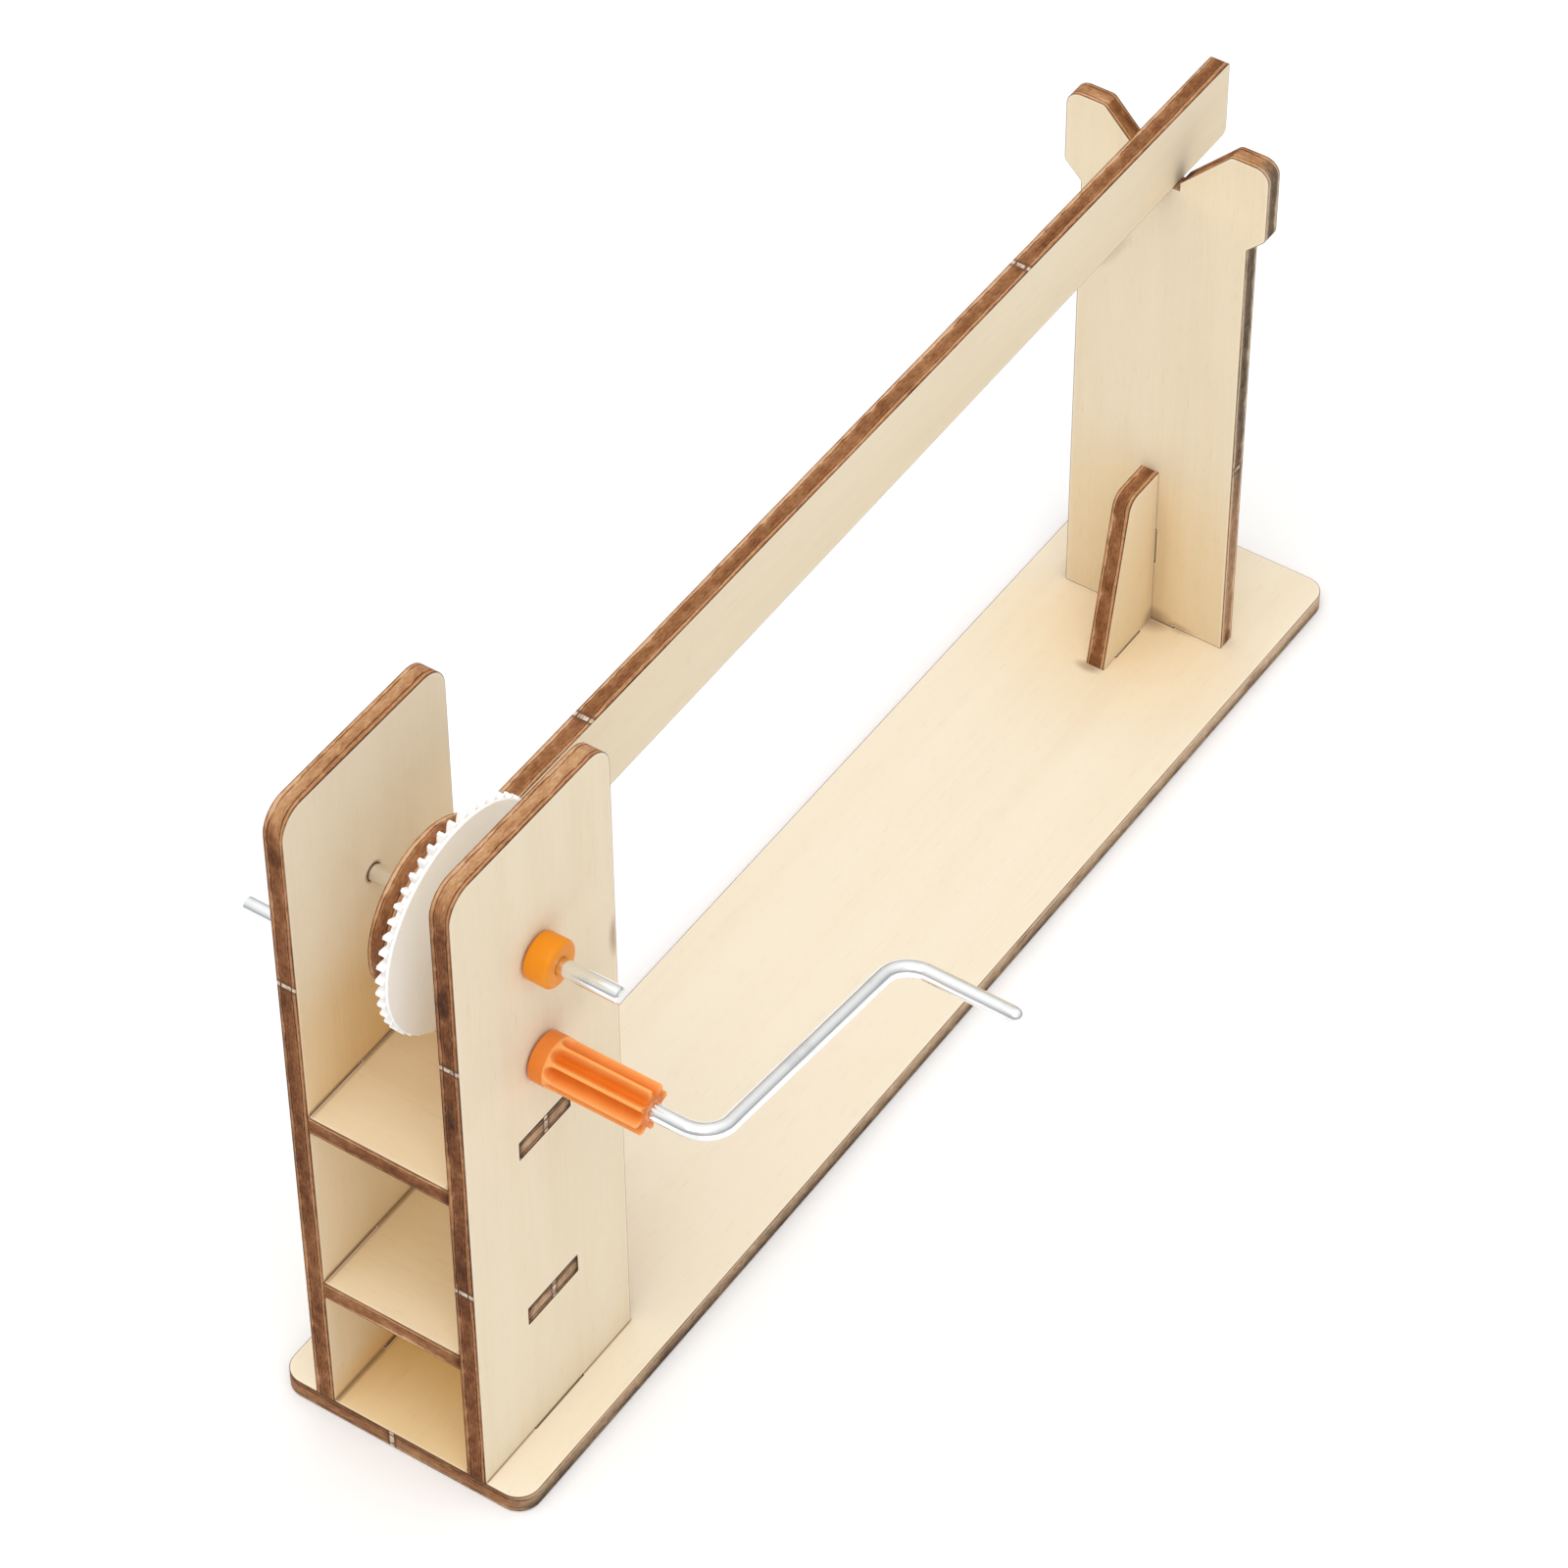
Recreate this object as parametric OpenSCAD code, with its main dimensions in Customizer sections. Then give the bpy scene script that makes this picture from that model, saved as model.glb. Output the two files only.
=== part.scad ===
// Hand-cranked lifting barrier gate, a laser-cut plywood kit on steel rods.
// X runs across the gate with the crank on +X, Y along the base with the tower at -Y, Z up.
// The origin is the middle of the base plate's underside. All sizes are in millimetres.

/* [Plywood] */
// Thickness of the plywood that every flat piece is cut from
ply = 2.5; // [2:0.1:3.2]
// Length of each tab that joins two plates
tab_l = 9; // [6:0.5:11]
// Gap round a tab in its slot, on each side
slot_gap = 0.1; // [0.05:0.05:0.2]

/* [Base] */
// Length of the base plate
base_l = 175; // [160:1:220]
// Width of the base plate
base_w = 34; // [32:1:60]
// Radius of the base plate's corners
base_r = 2.8; // [2:0.1:6]

/* [Tower] */
// Length of a side plate along the base
tower_l = 28; // [24:0.5:40]
// Height of a side plate above the base plate
tower_h = 94; // [90:1:120]
// Clear width between the two side plates
tower_gap = 18.4; // [16:0.2:21]
// Radius of a side plate's top corners
tower_r = 3.5; // [1:0.5:8]
// Clear height below the lower shelf
lower_bay = 18.4; // [12:0.2:22]
// Height of the upper shelf's underside above the base plate
upper_bay = 46; // [36:0.5:50]

/* [Axles] */
// Diameter of the steel rod that the axle and the crank are made of
rod_d = 2; // [1.6:0.1:2.4]
// Radial running gap of a rod in a side plate
run_gap = 0.06; // [0.02:0.01:0.1]
// Height of the gate's axle above the base plate
axle_h = 74.3; // [71:0.1:78]
// How far the axle sticks out of the bush on the crank side
axle_out = 7.6; // [2:0.1:10]
// How far the axle sticks out of the bush on the far side
axle_in = 1.5; // [0.5:0.1:4]
// Bevel at the cut ends of a rod
rod_bevel = 0.2; // [0.1:0.05:0.4]

/* [Bushes] */
// Outer diameter of a bush
bush_d = 5.7; // [4.5:0.1:8]
// Length of a bush
bush_l = 3; // [2:0.1:5]
// Gap between a turning collar and the side plate
face_gap = 0.2; // [0.1:0.05:0.4]
// Rounding of a bush's outer rim
bush_round = 0.4; // [0.2:0.05:0.8]

/* [Gears] */
// Module of the gear pair
tooth_m = 0.56; // [0.5:0.01:0.6]
// Teeth of the large gear on the gate's axle
gear_teeth = 48; // [44:1:52]
// Teeth of the small pinion on the crank
pinion_teeth = 8; // [8:1:10]
// Width of the large gear at its teeth
gear_face = 1; // [0.8:0.1:3]
// Thickness of the disc that closes the tooth gaps on the crank side
gear_disc_t = 0.4; // [0.3:0.1:1]
// How far the closing disc stays inside the tips of the teeth
gear_disc_in = 0.3; // [0.1:0.05:0.5]
// Width of the pinion
pinion_w = 5; // [4.4:0.1:6]
// Thickness taken off every tooth so that the pair runs free
tooth_play = 0.08; // [0.04:0.01:0.12]
// Outer diameter of the large gear's hub
gear_hub_d = 6; // [4.5:0.1:8]
// How far the hub stands out of the large gear on the crank side
gear_hub_out = 3; // [1:0.1:4]

/* [Gate arm] */
// Distance from the base plate's far end to the gate arm's far end
arm_back = 5.5; // [2:0.5:12]
// Height of the gate arm's bar at the axle
arm_w = 12.1; // [10:0.1:13]
// How far the bar's middle line lies above the axle
arm_rise = 0.45; // [0:0.05:2]
// Height of the bar at its far end
arm_end_w = 10.6; // [8:0.1:12]
// How far the bar's middle line lies above the axle's height at its far end
arm_end_rise = 2.15; // [0:0.05:3]
// Radius of the arm's round head
arm_head_r = 10; // [9:0.1:10.8]
// How far the head's centre lies behind the axle
head_back = 1.5; // [0:0.1:2]
// How far the head's centre lies above the axle
head_rise = 1.6; // [0:0.1:2]
// Cut at the lower corner of the arm's far end
arm_cut = 0.5; // [0.4:0.1:4]
// Radius of the arm's corners at its far end
arm_round = 0.4; // [0.2:0.1:0.5]

/* [Rest post] */
// Distance from the base plate's far end to the post's back face
post_back = 14.8; // [10:0.1:20]
// Width of the post's body
post_w = 23; // [18:0.1:26]
// Width of the post's head
head_w = 27.8; // [27:0.1:32]
// Height of the post's head, with its sloping shoulders
head_h = 13; // [12:0.1:18]
// Radius of the head's outer top corners
head_r = 2; // [0.5:0.1:3]
// Radius of the corners at the head's shoulders and at the top of the V
post_round = 1; // [0.3:0.1:1.5]
// Width of the narrow slot that the arm rests in
fork_w = 4; // [3.8:0.1:5]
// Depth of the narrow slot below the V
fork_d = 1.2; // [0.8:0.1:3]
// Width of the V at the top of the post
vee_w = 17.4; // [14:0.1:20]
// Depth of the V
vee_d = 7; // [5:0.1:8]
// Gap under the arm when it lies in the fork
rest_gap = 0.25; // [0.1:0.05:0.4]

/* [Post brace] */
// Depth of the brace along the base
brace_l = 11.5; // [10:0.1:16]
// Height of the brace above the base plate
brace_h = 25; // [18:0.5:35]
// Length of the brace's top edge
brace_top = 6.5; // [5:0.1:8]
// Radius of the brace's front corner
brace_r = 2; // [0.5:0.1:2.5]
// Length of the brace's two tabs
brace_tab = 5.5; // [4:0.1:6]

/* [Crank] */
// How far the crank's shaft sticks out on the far side
crank_stub = 15.5; // [4:0.1:20]
// Length of the grip's plain collar
grip_collar_l = 2.5; // [1:0.1:4]
// Diameter of the grip's plain collar
grip_d = 6; // [5.4:0.1:8]
// Length of the grip's ribbed part
grip_rib_l = 11.5; // [8:0.1:16]
// Step from the collar down to the crests of the ribs
rib_step = 0.05; // [0.05:0.05:0.3]
// Number of ribs round the grip
grip_ribs = 8; // [6:1:10]
// Distance from the grip to the middle of the crank's arm
crank_neck = 7.5; // [5.5:0.1:12]
// Throw of the crank, from the shaft to the handle
crank_throw = 36.2; // [25:0.1:45]
// Length of the crank's handle from the middle of its arm
crank_handle = 15.6; // [12:0.1:22]
// Radius of the crank's two bends, at the middle of the rod
bend_r = 3.5; // [2.5:0.1:4.5]
// Angle of the crank's arm below level when the gate is down
crank_droop = 7.7; // [0:0.1:20]

/* [Hidden] */

$fn = 64;
cut = 1;               // how far a cutting solid runs past the face it opens
arc_steps = 8;         // flat facets in a rounded plywood corner
pressure = 20;         // pressure angle of the teeth
shift = 0.5;           // profile shift of the pinion, taken off the large gear
tip_relief = 0.2;      // share of the module left off the pinion's pointed tips
root_depth = 1.25;     // depth of a tooth below the pitch circle, as a share of the module
flank_steps = 4;       // flats along a tooth's flank

// Places in the tower
half_gap = tower_gap / 2;
outer_x = half_gap + ply;
tower_y = -base_l / 2 + tower_l / 2;
axle_z = ply + axle_h;
crank_z = axle_z - tooth_m * (gear_teeth + pinion_teeth) / 2;
lower_z = ply + lower_bay;
upper_z = ply + upper_bay;

// Places of the arm and the post
arm_low = axle_z + arm_rise - arm_w / 2;
arm_end_low = axle_z + arm_end_rise - arm_end_w / 2;
arm_end_y = base_l / 2 - arm_back;
gear_x = ply / 2;
pinion_x = gear_x + gear_face - face_gap - pinion_w;
post_y = base_l / 2 - post_back - ply;
rest_part = (post_y - tower_y) / (arm_end_y - tower_y);
fork_z = arm_low + (arm_end_low - arm_low) * rest_part - rest_gap;
vee_z = fork_z + fork_d;
post_top = vee_z + vee_d;
shoulder = (head_w - post_w) / 2;
brace_slot_z = ply + brace_h / 2;

// Places along the crank
grip_x = outer_x + face_gap;
grip_end = grip_x + grip_collar_l + grip_rib_l;
crank_x = grip_end + crank_neck;

// Unit vector of v
function unit(v) = v / norm(v);

// Points of one rounded corner q between the neighbours p and n, as an arc of radius r
function corner(p, q, n, r) =
    r <= 0 ? [q] :
    let (u = unit(p - q), v = unit(n - q),
         half = acos(u * v) / 2,
         c = q + unit(u + v) * r / sin(half),
         a = q + u * r / tan(half),
         b = q + v * r / tan(half),
         a0 = atan2(a[1] - c[1], a[0] - c[0]),
         a1 = atan2(b[1] - c[1], b[0] - c[0]),
         turn = (a1 - a0 + 540) % 360 - 180)
    [for (i = [0:arc_steps]) c + r * [cos(a0 + turn * i / arc_steps), sin(a0 + turn * i / arc_steps)]];

// Outline through pts with corner i rounded to radius rs[i]
function rounded(pts, rs) =
    let (n = len(pts))
    [for (i = [0:n - 1]) each corner(pts[(i + n - 1) % n], pts[i], pts[(i + 1) % n], rs[i])];

// Involute function of an angle, in degrees
function involute(a) = tan(a) * 180 / PI - a;

// Half the angle that a tooth of module m fills at radius r, less the play
function half_tooth(m, teeth, x, play, r) =
    let (pitch_r = m * teeth / 2,
         base_circle = pitch_r * cos(pressure),
         at = acos(min(1, base_circle / r)),
         thick = m * (PI / 2 + 2 * x * tan(pressure)) - play)
    thick / (2 * pitch_r) * 180 / PI + involute(pressure) - involute(at);

// Outline of a gear: each tooth runs up one involute flank and down the other
function gear_outline(m, teeth, x, play, root_r, tip_r) =
    let (base_circle = m * teeth / 2 * cos(pressure),
         start_r = max(root_r, base_circle),
         radii = concat(root_r < start_r ? [root_r] : [],
             [for (i = [0:flank_steps]) start_r + (tip_r - start_r) * i / flank_steps]),
         n = len(radii))
    [for (k = [0:teeth - 1], side = [-1, 1], i = [0:n - 1])
        let (r = radii[side < 0 ? i : n - 1 - i],
             a = 360 * k / teeth + side * half_tooth(m, teeth, x, play, max(r, start_r)))
        r * [cos(a), sin(a)]];

// Turns a solid that stands on Z so that it runs along +X from x, at height z over the tower
module along_x(x, z) {
    translate([x, tower_y, z]) rotate([0, 90, 0]) rotate([0, 0, 90]) children();
}

// A plate of one ply, cut to an outline in Y and Z, from x towards +X
module plate_yz(x, outline) {
    translate([x, 0, 0]) rotate([90, 0, 90]) linear_extrude(ply) polygon(outline);
}

// A plate of one ply, cut to an outline in X and Z, from y towards +Y
module plate_xz(y, outline) {
    translate([0, y + ply, 0]) rotate([90, 0, 0]) linear_extrude(ply) polygon(outline);
}

// A slot through a plate, centred at a point, for a tab of the given section
module slot(centre, section, through) {
    translate(centre)
        cube([section[0] + (through == 0 ? 2 * cut : 2 * slot_gap),
              section[1] + (through == 1 ? 2 * cut : 2 * slot_gap),
              section[2] + (through == 2 ? 2 * cut : 2 * slot_gap)], center = true);
}

// A round hole along X through the side plates for a turning rod
module rod_hole(z) {
    along_x(-outer_x - cut, z) cylinder(d = rod_d + 2 * run_gap, h = 2 * (outer_x + cut));
}

// A straight rod along Z with a bevel at each end
module rod(length) {
    rotate_extrude()
        polygon([[0, 0], [rod_d / 2 - rod_bevel, 0], [rod_d / 2, rod_bevel],
                 [rod_d / 2, length - rod_bevel], [rod_d / 2 - rod_bevel, length], [0, length]]);
}

module base_plate() {
    outline = [[-base_w / 2, -base_l / 2], [base_w / 2, -base_l / 2],
               [base_w / 2, base_l / 2], [-base_w / 2, base_l / 2]];
    color("burlywood") difference() {
        linear_extrude(ply) polygon(rounded(outline, [for (i = [0:3]) base_r]));
        for (side = [-1, 1])
            slot([side * (half_gap + ply / 2), tower_y, ply / 2], [ply, tab_l, ply], 2);
        slot([0, post_y + ply / 2, ply / 2], [tab_l, ply, ply], 2);
        slot([0, post_y - brace_l / 2, ply / 2], [ply, brace_tab, ply], 2);
    }
}

// A side plate with its inner or outer face at x, its bottom tab, shelf slots and rod holes
module side_plate(x) {
    front = tower_y - tower_l / 2;
    back = tower_y + tower_l / 2;
    top = ply + tower_h;
    outline = [[front, ply], [tower_y - tab_l / 2, ply], [tower_y - tab_l / 2, 0],
               [tower_y + tab_l / 2, 0], [tower_y + tab_l / 2, ply], [back, ply],
               [back, top], [front, top]];
    difference() {
        plate_yz(x, rounded(outline, [0, 0, 0, 0, 0, 0, tower_r, tower_r]));
        for (z = [lower_z, upper_z])
            slot([x + ply / 2, tower_y, z + ply / 2], [ply, tab_l, ply], 0);
        rod_hole(axle_z);
        rod_hole(crank_z);
    }
}

module left_side_plate() {
    color("burlywood") side_plate(-outer_x);
}

module right_side_plate() {
    color("burlywood") side_plate(half_gap);
}

// A shelf with its underside at z, and a tab through each side plate
module shelf(z) {
    translate([0, tower_y, z]) linear_extrude(ply)
        polygon([[-half_gap, -tower_l / 2], [half_gap, -tower_l / 2], [half_gap, -tab_l / 2],
                 [outer_x, -tab_l / 2], [outer_x, tab_l / 2], [half_gap, tab_l / 2],
                 [half_gap, tower_l / 2], [-half_gap, tower_l / 2], [-half_gap, tab_l / 2],
                 [-outer_x, tab_l / 2], [-outer_x, -tab_l / 2], [-half_gap, -tab_l / 2]]);
}

module upper_shelf() {
    color("burlywood") shelf(upper_z);
}

module lower_shelf() {
    color("burlywood") shelf(lower_z);
}

// The forked post: half of its outline, mirrored across the middle
module rest_post() {
    right = [[tab_l / 2, 0], [tab_l / 2, ply], [post_w / 2, ply],
             [post_w / 2, post_top - head_h], [head_w / 2, post_top - head_h + shoulder],
             [head_w / 2, post_top], [vee_w / 2, post_top], [fork_w / 2, vee_z],
             [fork_w / 2, fork_z]];
    radii = [0, 0, 0, 0, post_round, head_r, post_round, 0, 0];
    n = len(right);
    outline = concat(right, [for (i = [n - 1:-1:0]) [-right[i][0], right[i][1]]]);
    both = concat(radii, [for (i = [n - 1:-1:0]) radii[i]]);
    color("burlywood") difference() {
        plate_xz(post_y, rounded(outline, both));
        slot([0, post_y + ply / 2, brace_slot_z], [ply, ply, brace_tab], 1);
    }
}

// The small plate that props the post, with a tab into the base and one into the post
module post_brace() {
    front = post_y - brace_l;
    tab_mid = post_y - brace_l / 2;
    top = ply + brace_h;
    outline = [[front, ply], [tab_mid - brace_tab / 2, ply], [tab_mid - brace_tab / 2, 0],
               [tab_mid + brace_tab / 2, 0], [tab_mid + brace_tab / 2, ply], [post_y, ply],
               [post_y, brace_slot_z - brace_tab / 2],
               [post_y + ply, brace_slot_z - brace_tab / 2],
               [post_y + ply, brace_slot_z + brace_tab / 2],
               [post_y, brace_slot_z + brace_tab / 2],
               [post_y, top], [post_y - brace_top, top]];
    color("burlywood")
        plate_yz(-ply / 2, rounded(outline, [for (i = [0:11]) i == 11 ? brace_r : 0]));
}

// The gate arm: a long bar on a round head that is pressed on the axle, a little off its centre
module gate_arm() {
    outline = [[tower_y, arm_low], [arm_end_y - arm_cut, arm_end_low],
               [arm_end_y, arm_end_low + arm_cut], [arm_end_y, arm_end_low + arm_end_w],
               [tower_y, arm_low + arm_w]];
    color("burlywood") difference() {
        union() {
            plate_yz(-ply / 2, rounded(outline, [0, arm_round, arm_round, arm_round, 0]));
            translate([0, -head_back, head_rise]) along_x(-ply / 2, axle_z)
                cylinder(r = arm_head_r, h = ply);
        }
        along_x(-ply / 2 - cut, axle_z) cylinder(d = rod_d, h = ply + 2 * cut);
    }
}

// The large gear against the arm: teeth, a disc that closes their crank side, and a hub
module lift_gear() {
    pitch_r = tooth_m * gear_teeth / 2;
    tip_r = pitch_r + tooth_m * (1 - shift);
    root_r = pitch_r - tooth_m * (root_depth + shift);
    disc_end = gear_face + gear_disc_t;
    color("white") along_x(gear_x, axle_z) difference() {
        union() {
            linear_extrude(gear_face)
                polygon(gear_outline(tooth_m, gear_teeth, -shift, tooth_play, root_r, tip_r));
            translate([0, 0, gear_face]) cylinder(r = tip_r - gear_disc_in, h = gear_disc_t);
            cylinder(d = gear_hub_d, h = disc_end + gear_hub_out);
        }
        translate([0, 0, -cut]) cylinder(d = rod_d, h = disc_end + gear_hub_out + 2 * cut);
    }
}

module gate_axle() {
    left = outer_x + face_gap + bush_l + axle_in;
    right = outer_x + face_gap + bush_l + axle_out;
    color("silver") along_x(-left, axle_z) rod(left + right);
}

// A round bush with softened rims, pressed on the axle
module bush() {
    rotate_extrude()
        polygon([[rod_d / 2, 0], [bush_d / 2 - bush_round, 0], [bush_d / 2, bush_round],
                 [bush_d / 2, bush_l - bush_round], [bush_d / 2 - bush_round, bush_l],
                 [rod_d / 2, bush_l]]);
}

module axle_bush_right() {
    color("orange") along_x(outer_x + face_gap, axle_z) bush();
}

module axle_bush_left() {
    color("orange") along_x(-outer_x - face_gap - bush_l, axle_z) bush();
}

// A quarter turn of the rod in the XZ plane, from the start along +X round to +Z
module bend() {
    translate([0, 0, bend_r]) rotate([90, 0, 0]) rotate([0, 0, -90])
        rotate_extrude(angle = 90) translate([bend_r, 0]) circle(d = rod_d);
}

// The crank, bent out of one rod: shaft, arm and handle, with its handle end rounded
module crank_rod() {
    shaft_l = outer_x + crank_stub + crank_x - bend_r;
    arm = crank_throw - 2 * bend_r;
    color("silver") translate([0, tower_y, crank_z]) rotate([-90 - crank_droop, 0, 0]) {
        translate([-outer_x - crank_stub, 0, 0]) rotate([0, 90, 0]) rod(shaft_l + rod_bevel);
        translate([crank_x - bend_r, 0, 0]) bend();
        translate([crank_x, 0, bend_r]) cylinder(d = rod_d, h = arm);
        translate([crank_x + bend_r, 0, crank_throw]) rotate([0, 180, 0]) bend();
        translate([crank_x + bend_r, 0, crank_throw]) rotate([0, 90, 0])
            cylinder(d = rod_d, h = crank_handle - bend_r - rod_d / 2);
        translate([crank_x + crank_handle - rod_d / 2, 0, crank_throw]) sphere(d = rod_d);
    }
}

// The ribbed grip: a plain collar against the tower, then long gear-like ribs
module crank_grip() {
    crest_r = grip_d / 2 - rib_step;
    rib_m = crest_r / (grip_ribs / 2 + 1 + shift - tip_relief);
    root_r = rib_m * (grip_ribs / 2 - root_depth + shift);
    color("darkorange") along_x(grip_x, crank_z) difference() {
        union() {
            cylinder(d = grip_d, h = grip_collar_l);
            linear_extrude(grip_collar_l + grip_rib_l)
                polygon(gear_outline(rib_m, grip_ribs, shift, 0, root_r, crest_r));
        }
        translate([0, 0, -cut])
            cylinder(d = rod_d, h = grip_collar_l + grip_rib_l + 2 * cut);
    }
}

// The small pinion inside the tower, turned so that a gap faces the large gear
module drive_pinion() {
    pitch_r = tooth_m * pinion_teeth / 2;
    tip_r = pitch_r + tooth_m * (1 + shift - tip_relief);
    root_r = pitch_r - tooth_m * (root_depth - shift);
    color("darkorange") along_x(pinion_x, crank_z) rotate([0, 0, 90 + 180 / pinion_teeth])
        difference() {
            linear_extrude(pinion_w)
                polygon(gear_outline(tooth_m, pinion_teeth, shift, tooth_play, root_r, tip_r));
            translate([0, 0, -cut]) cylinder(d = rod_d, h = pinion_w + 2 * cut);
        }
}

base_plate();
left_side_plate();
right_side_plate();
upper_shelf();
lower_shelf();
rest_post();
post_brace();
gate_arm();
lift_gear();
gate_axle();
axle_bush_right();
axle_bush_left();
crank_rod();
crank_grip();
drive_pinion();
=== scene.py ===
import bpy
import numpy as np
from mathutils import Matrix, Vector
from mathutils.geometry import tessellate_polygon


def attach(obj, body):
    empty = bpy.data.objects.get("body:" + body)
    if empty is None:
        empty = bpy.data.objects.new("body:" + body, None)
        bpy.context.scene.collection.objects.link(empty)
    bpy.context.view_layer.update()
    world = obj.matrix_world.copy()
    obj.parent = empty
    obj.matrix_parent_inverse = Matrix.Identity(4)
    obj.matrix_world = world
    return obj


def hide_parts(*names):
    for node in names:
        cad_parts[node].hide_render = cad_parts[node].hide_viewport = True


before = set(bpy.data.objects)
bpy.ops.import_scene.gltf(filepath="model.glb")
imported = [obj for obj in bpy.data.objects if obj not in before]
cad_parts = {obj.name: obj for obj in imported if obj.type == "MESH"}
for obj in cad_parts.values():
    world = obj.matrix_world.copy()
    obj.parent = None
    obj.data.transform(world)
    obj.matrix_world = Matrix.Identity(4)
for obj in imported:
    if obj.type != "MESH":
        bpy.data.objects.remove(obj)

# %% [markdown]
# # A lifting barrier gate in laser-cut plywood
#
# This lesson rebuilds each of its pieces in Blender with a procedural finish.
#
# The frame that was loaded above is the engineer's model: plain solids with exact sizes, each
# tied to the body that it moves with. Each new piece takes the place of one of those solids, in
# exactly the same spot, and adds what makes the object look real: the burnt wall that a laser
# leaves, the soft rims of moulded plastic and the polish of a steel rod.
#
# Some sizes are shared by many pieces and by the wood's colouring: the sheet is 2.5 mm thick,
# the tower's two side plates stand 18.4 mm apart, and tabs are 9 mm long.

MM = 0.001                          # the shapes below are worked out in millimetres
PLY, TAB = 2.5, 9.0                 # thickness of the sheet, length of a tab
TOWER_Y = -73.5                     # middle of the tower, where axle and crank lie too
GAP = 9.2                           # from the middle to a side plate's inner face
OUTER = GAP + PLY                   # and to its outer face
AXLE_Z, CRANK_Z = 76.8, 61.12       # heights of the axle and of the crank's shaft
LOWER_Z, UPPER_Z = 20.9, 48.5       # undersides of the two shelves

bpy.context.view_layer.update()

# %% [markdown]
# ## The camera
#
# A product photograph like this one is taken from well above and to one side, with a long lens
# that keeps parallel edges nearly parallel. The camera is placed by two angles, the azimuth
# round the object and the elevation above the table, and then by how far it stands back. A
# camera looks along its own -Z axis, so its Z axis points from the object to the camera, and
# the last step back is a move along that axis. A location and three typed angles would do as
# well, but azimuth and elevation say it as a photographer would.

# %% Place the camera
def look_from(azimuth, elevation, roll, across, upward, distance):
    """Matrix of a camera: angles in degrees, then its place along its own three axes in mm. It
    starts out looking straight down, is rolled, tilted up and turned, and then moved."""
    turn, tilt, twist = np.radians([azimuth, 90 - elevation, roll])
    move = Matrix.Translation(Vector((across, upward, distance)) * MM)
    return (Matrix.Rotation(turn, 4, "Z") @ Matrix.Rotation(tilt, 4, "X")
            @ Matrix.Rotation(twist, 4, "Z") @ move)


camera_data = bpy.data.cameras.new("camera")
camera_data.sensor_width = 36
camera_data.lens = 139.1
camera_data.clip_start, camera_data.clip_end = 0.05, 20
camera = bpy.data.objects.new("camera", camera_data)
camera.matrix_world = look_from(azimuth=34.266, elevation=45.961, roll=-0.452,
                                across=-6.156, upward=22.197, distance=727.19)
bpy.context.scene.collection.objects.link(camera)
bpy.context.scene.camera = camera
print("camera at", np.round(camera.matrix_world.translation, 3).tolist())

# %% [markdown]
# ## Building shader nodes from code
#
# Sky and materials are small networks of nodes. A few helpers keep the networks below readable.
# fill gives sockets their values, each a plain number or colour or a link from another node's
# output. put adds one node. It needs no tree where it has a linked input, because an output
# socket knows the tree that it belongs to, so the rest read like formulas: calc is one step of
# arithmetic, slope and ease turn a range of values into another, tint mixes colours and cloud
# is noise. group starts a node group, a box of nodes with named sockets that several materials
# can share, so that an effect is made once and tuned in one place. Inside a group, give holds
# what comes in and take holds the sockets that its results go to.

# %% Helpers that fill sockets and add nodes
def fill(sockets, values):
    """Gives sockets, by name or number, a plain value or a link from another node's output."""
    for key, value in values.items():
        if isinstance(value, bpy.types.NodeSocket):
            value.id_data.links.new(value, sockets[key])
        else:
            sockets[key].default_value = value


def put(kind, inputs=None, tree=None, **fields):
    """Adds a shader node with these inputs and settings, to this tree or that of its inputs."""
    inputs = inputs or {}
    linked = [value for value in inputs.values() if isinstance(value, bpy.types.NodeSocket)]
    made = (tree or linked[0].id_data).nodes.new("ShaderNode" + kind)
    for field, value in fields.items():
        setattr(made, field, value)
    fill(made.inputs, inputs)
    return made

# %% Helpers for arithmetic and colours
def calc(how, *values):
    """The result of one Math node."""
    return put("Math", dict(enumerate(values)), operation=how).outputs[0]


def times(first, second, plus=0.0):
    """first times second, plus a third number."""
    return calc("MULTIPLY_ADD", first, second, plus)


def hypot(first, second):
    """The long side of a right triangle, which is a distance in two directions."""
    return calc("SQRT", times(first, first, times(second, second)))


def slope(value, low, high, first=0.0, last=1.0, how="LINEAR"):
    """first at low and before it, last at high and after it, and a straight line between."""
    return put("MapRange", {"Value": value, "From Min": low, "From Max": high, "To Min": first,
                            "To Max": last}, interpolation_type=how).outputs["Result"]


def ease(value, low, high):
    """0 at low, 1 at high and a smooth step between them."""
    return slope(value, low, high, how="SMOOTHSTEP")


def tint(part, first, second, how="MIX"):
    """Two colours, mixed by part from the first to the second."""
    return put("Mix", {0: part, 6: first, 7: second}, data_type="RGBA", blend_type=how).outputs[2]

# %% Helpers for noise, marks, materials and groups
def cloud(place, stretch, detail=2.0):
    """Noise from 0 to 1 on a place that is first stretched by three factors."""
    spread = put("VectorMath", {0: place, 1: stretch}, operation="MULTIPLY").outputs[0]
    return put("TexNoise", {"Vector": spread, "Scale": 1.0, "Detail": detail}).outputs["Fac"]


def mark(tree, name, output="Fac"):
    """What a mesh stored on its points or face corners under this name."""
    return put("Attribute", tree=tree, attribute_name=name).outputs[output]


def bump(height, distance, strength):
    """The normal of a relief in which a height of 1 stands this distance in metres proud."""
    return put("Bump", {"Height": height, "Distance": distance,
                        "Strength": strength}).outputs["Normal"]


def material(name, values):
    """A new material, its tree and the inputs of its main shader, filled with these values."""
    made = bpy.data.materials.new(name)
    made.use_nodes = True
    shader = made.node_tree.nodes["Principled BSDF"].inputs
    fill(shader, values)
    return made, made.node_tree, shader


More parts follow.
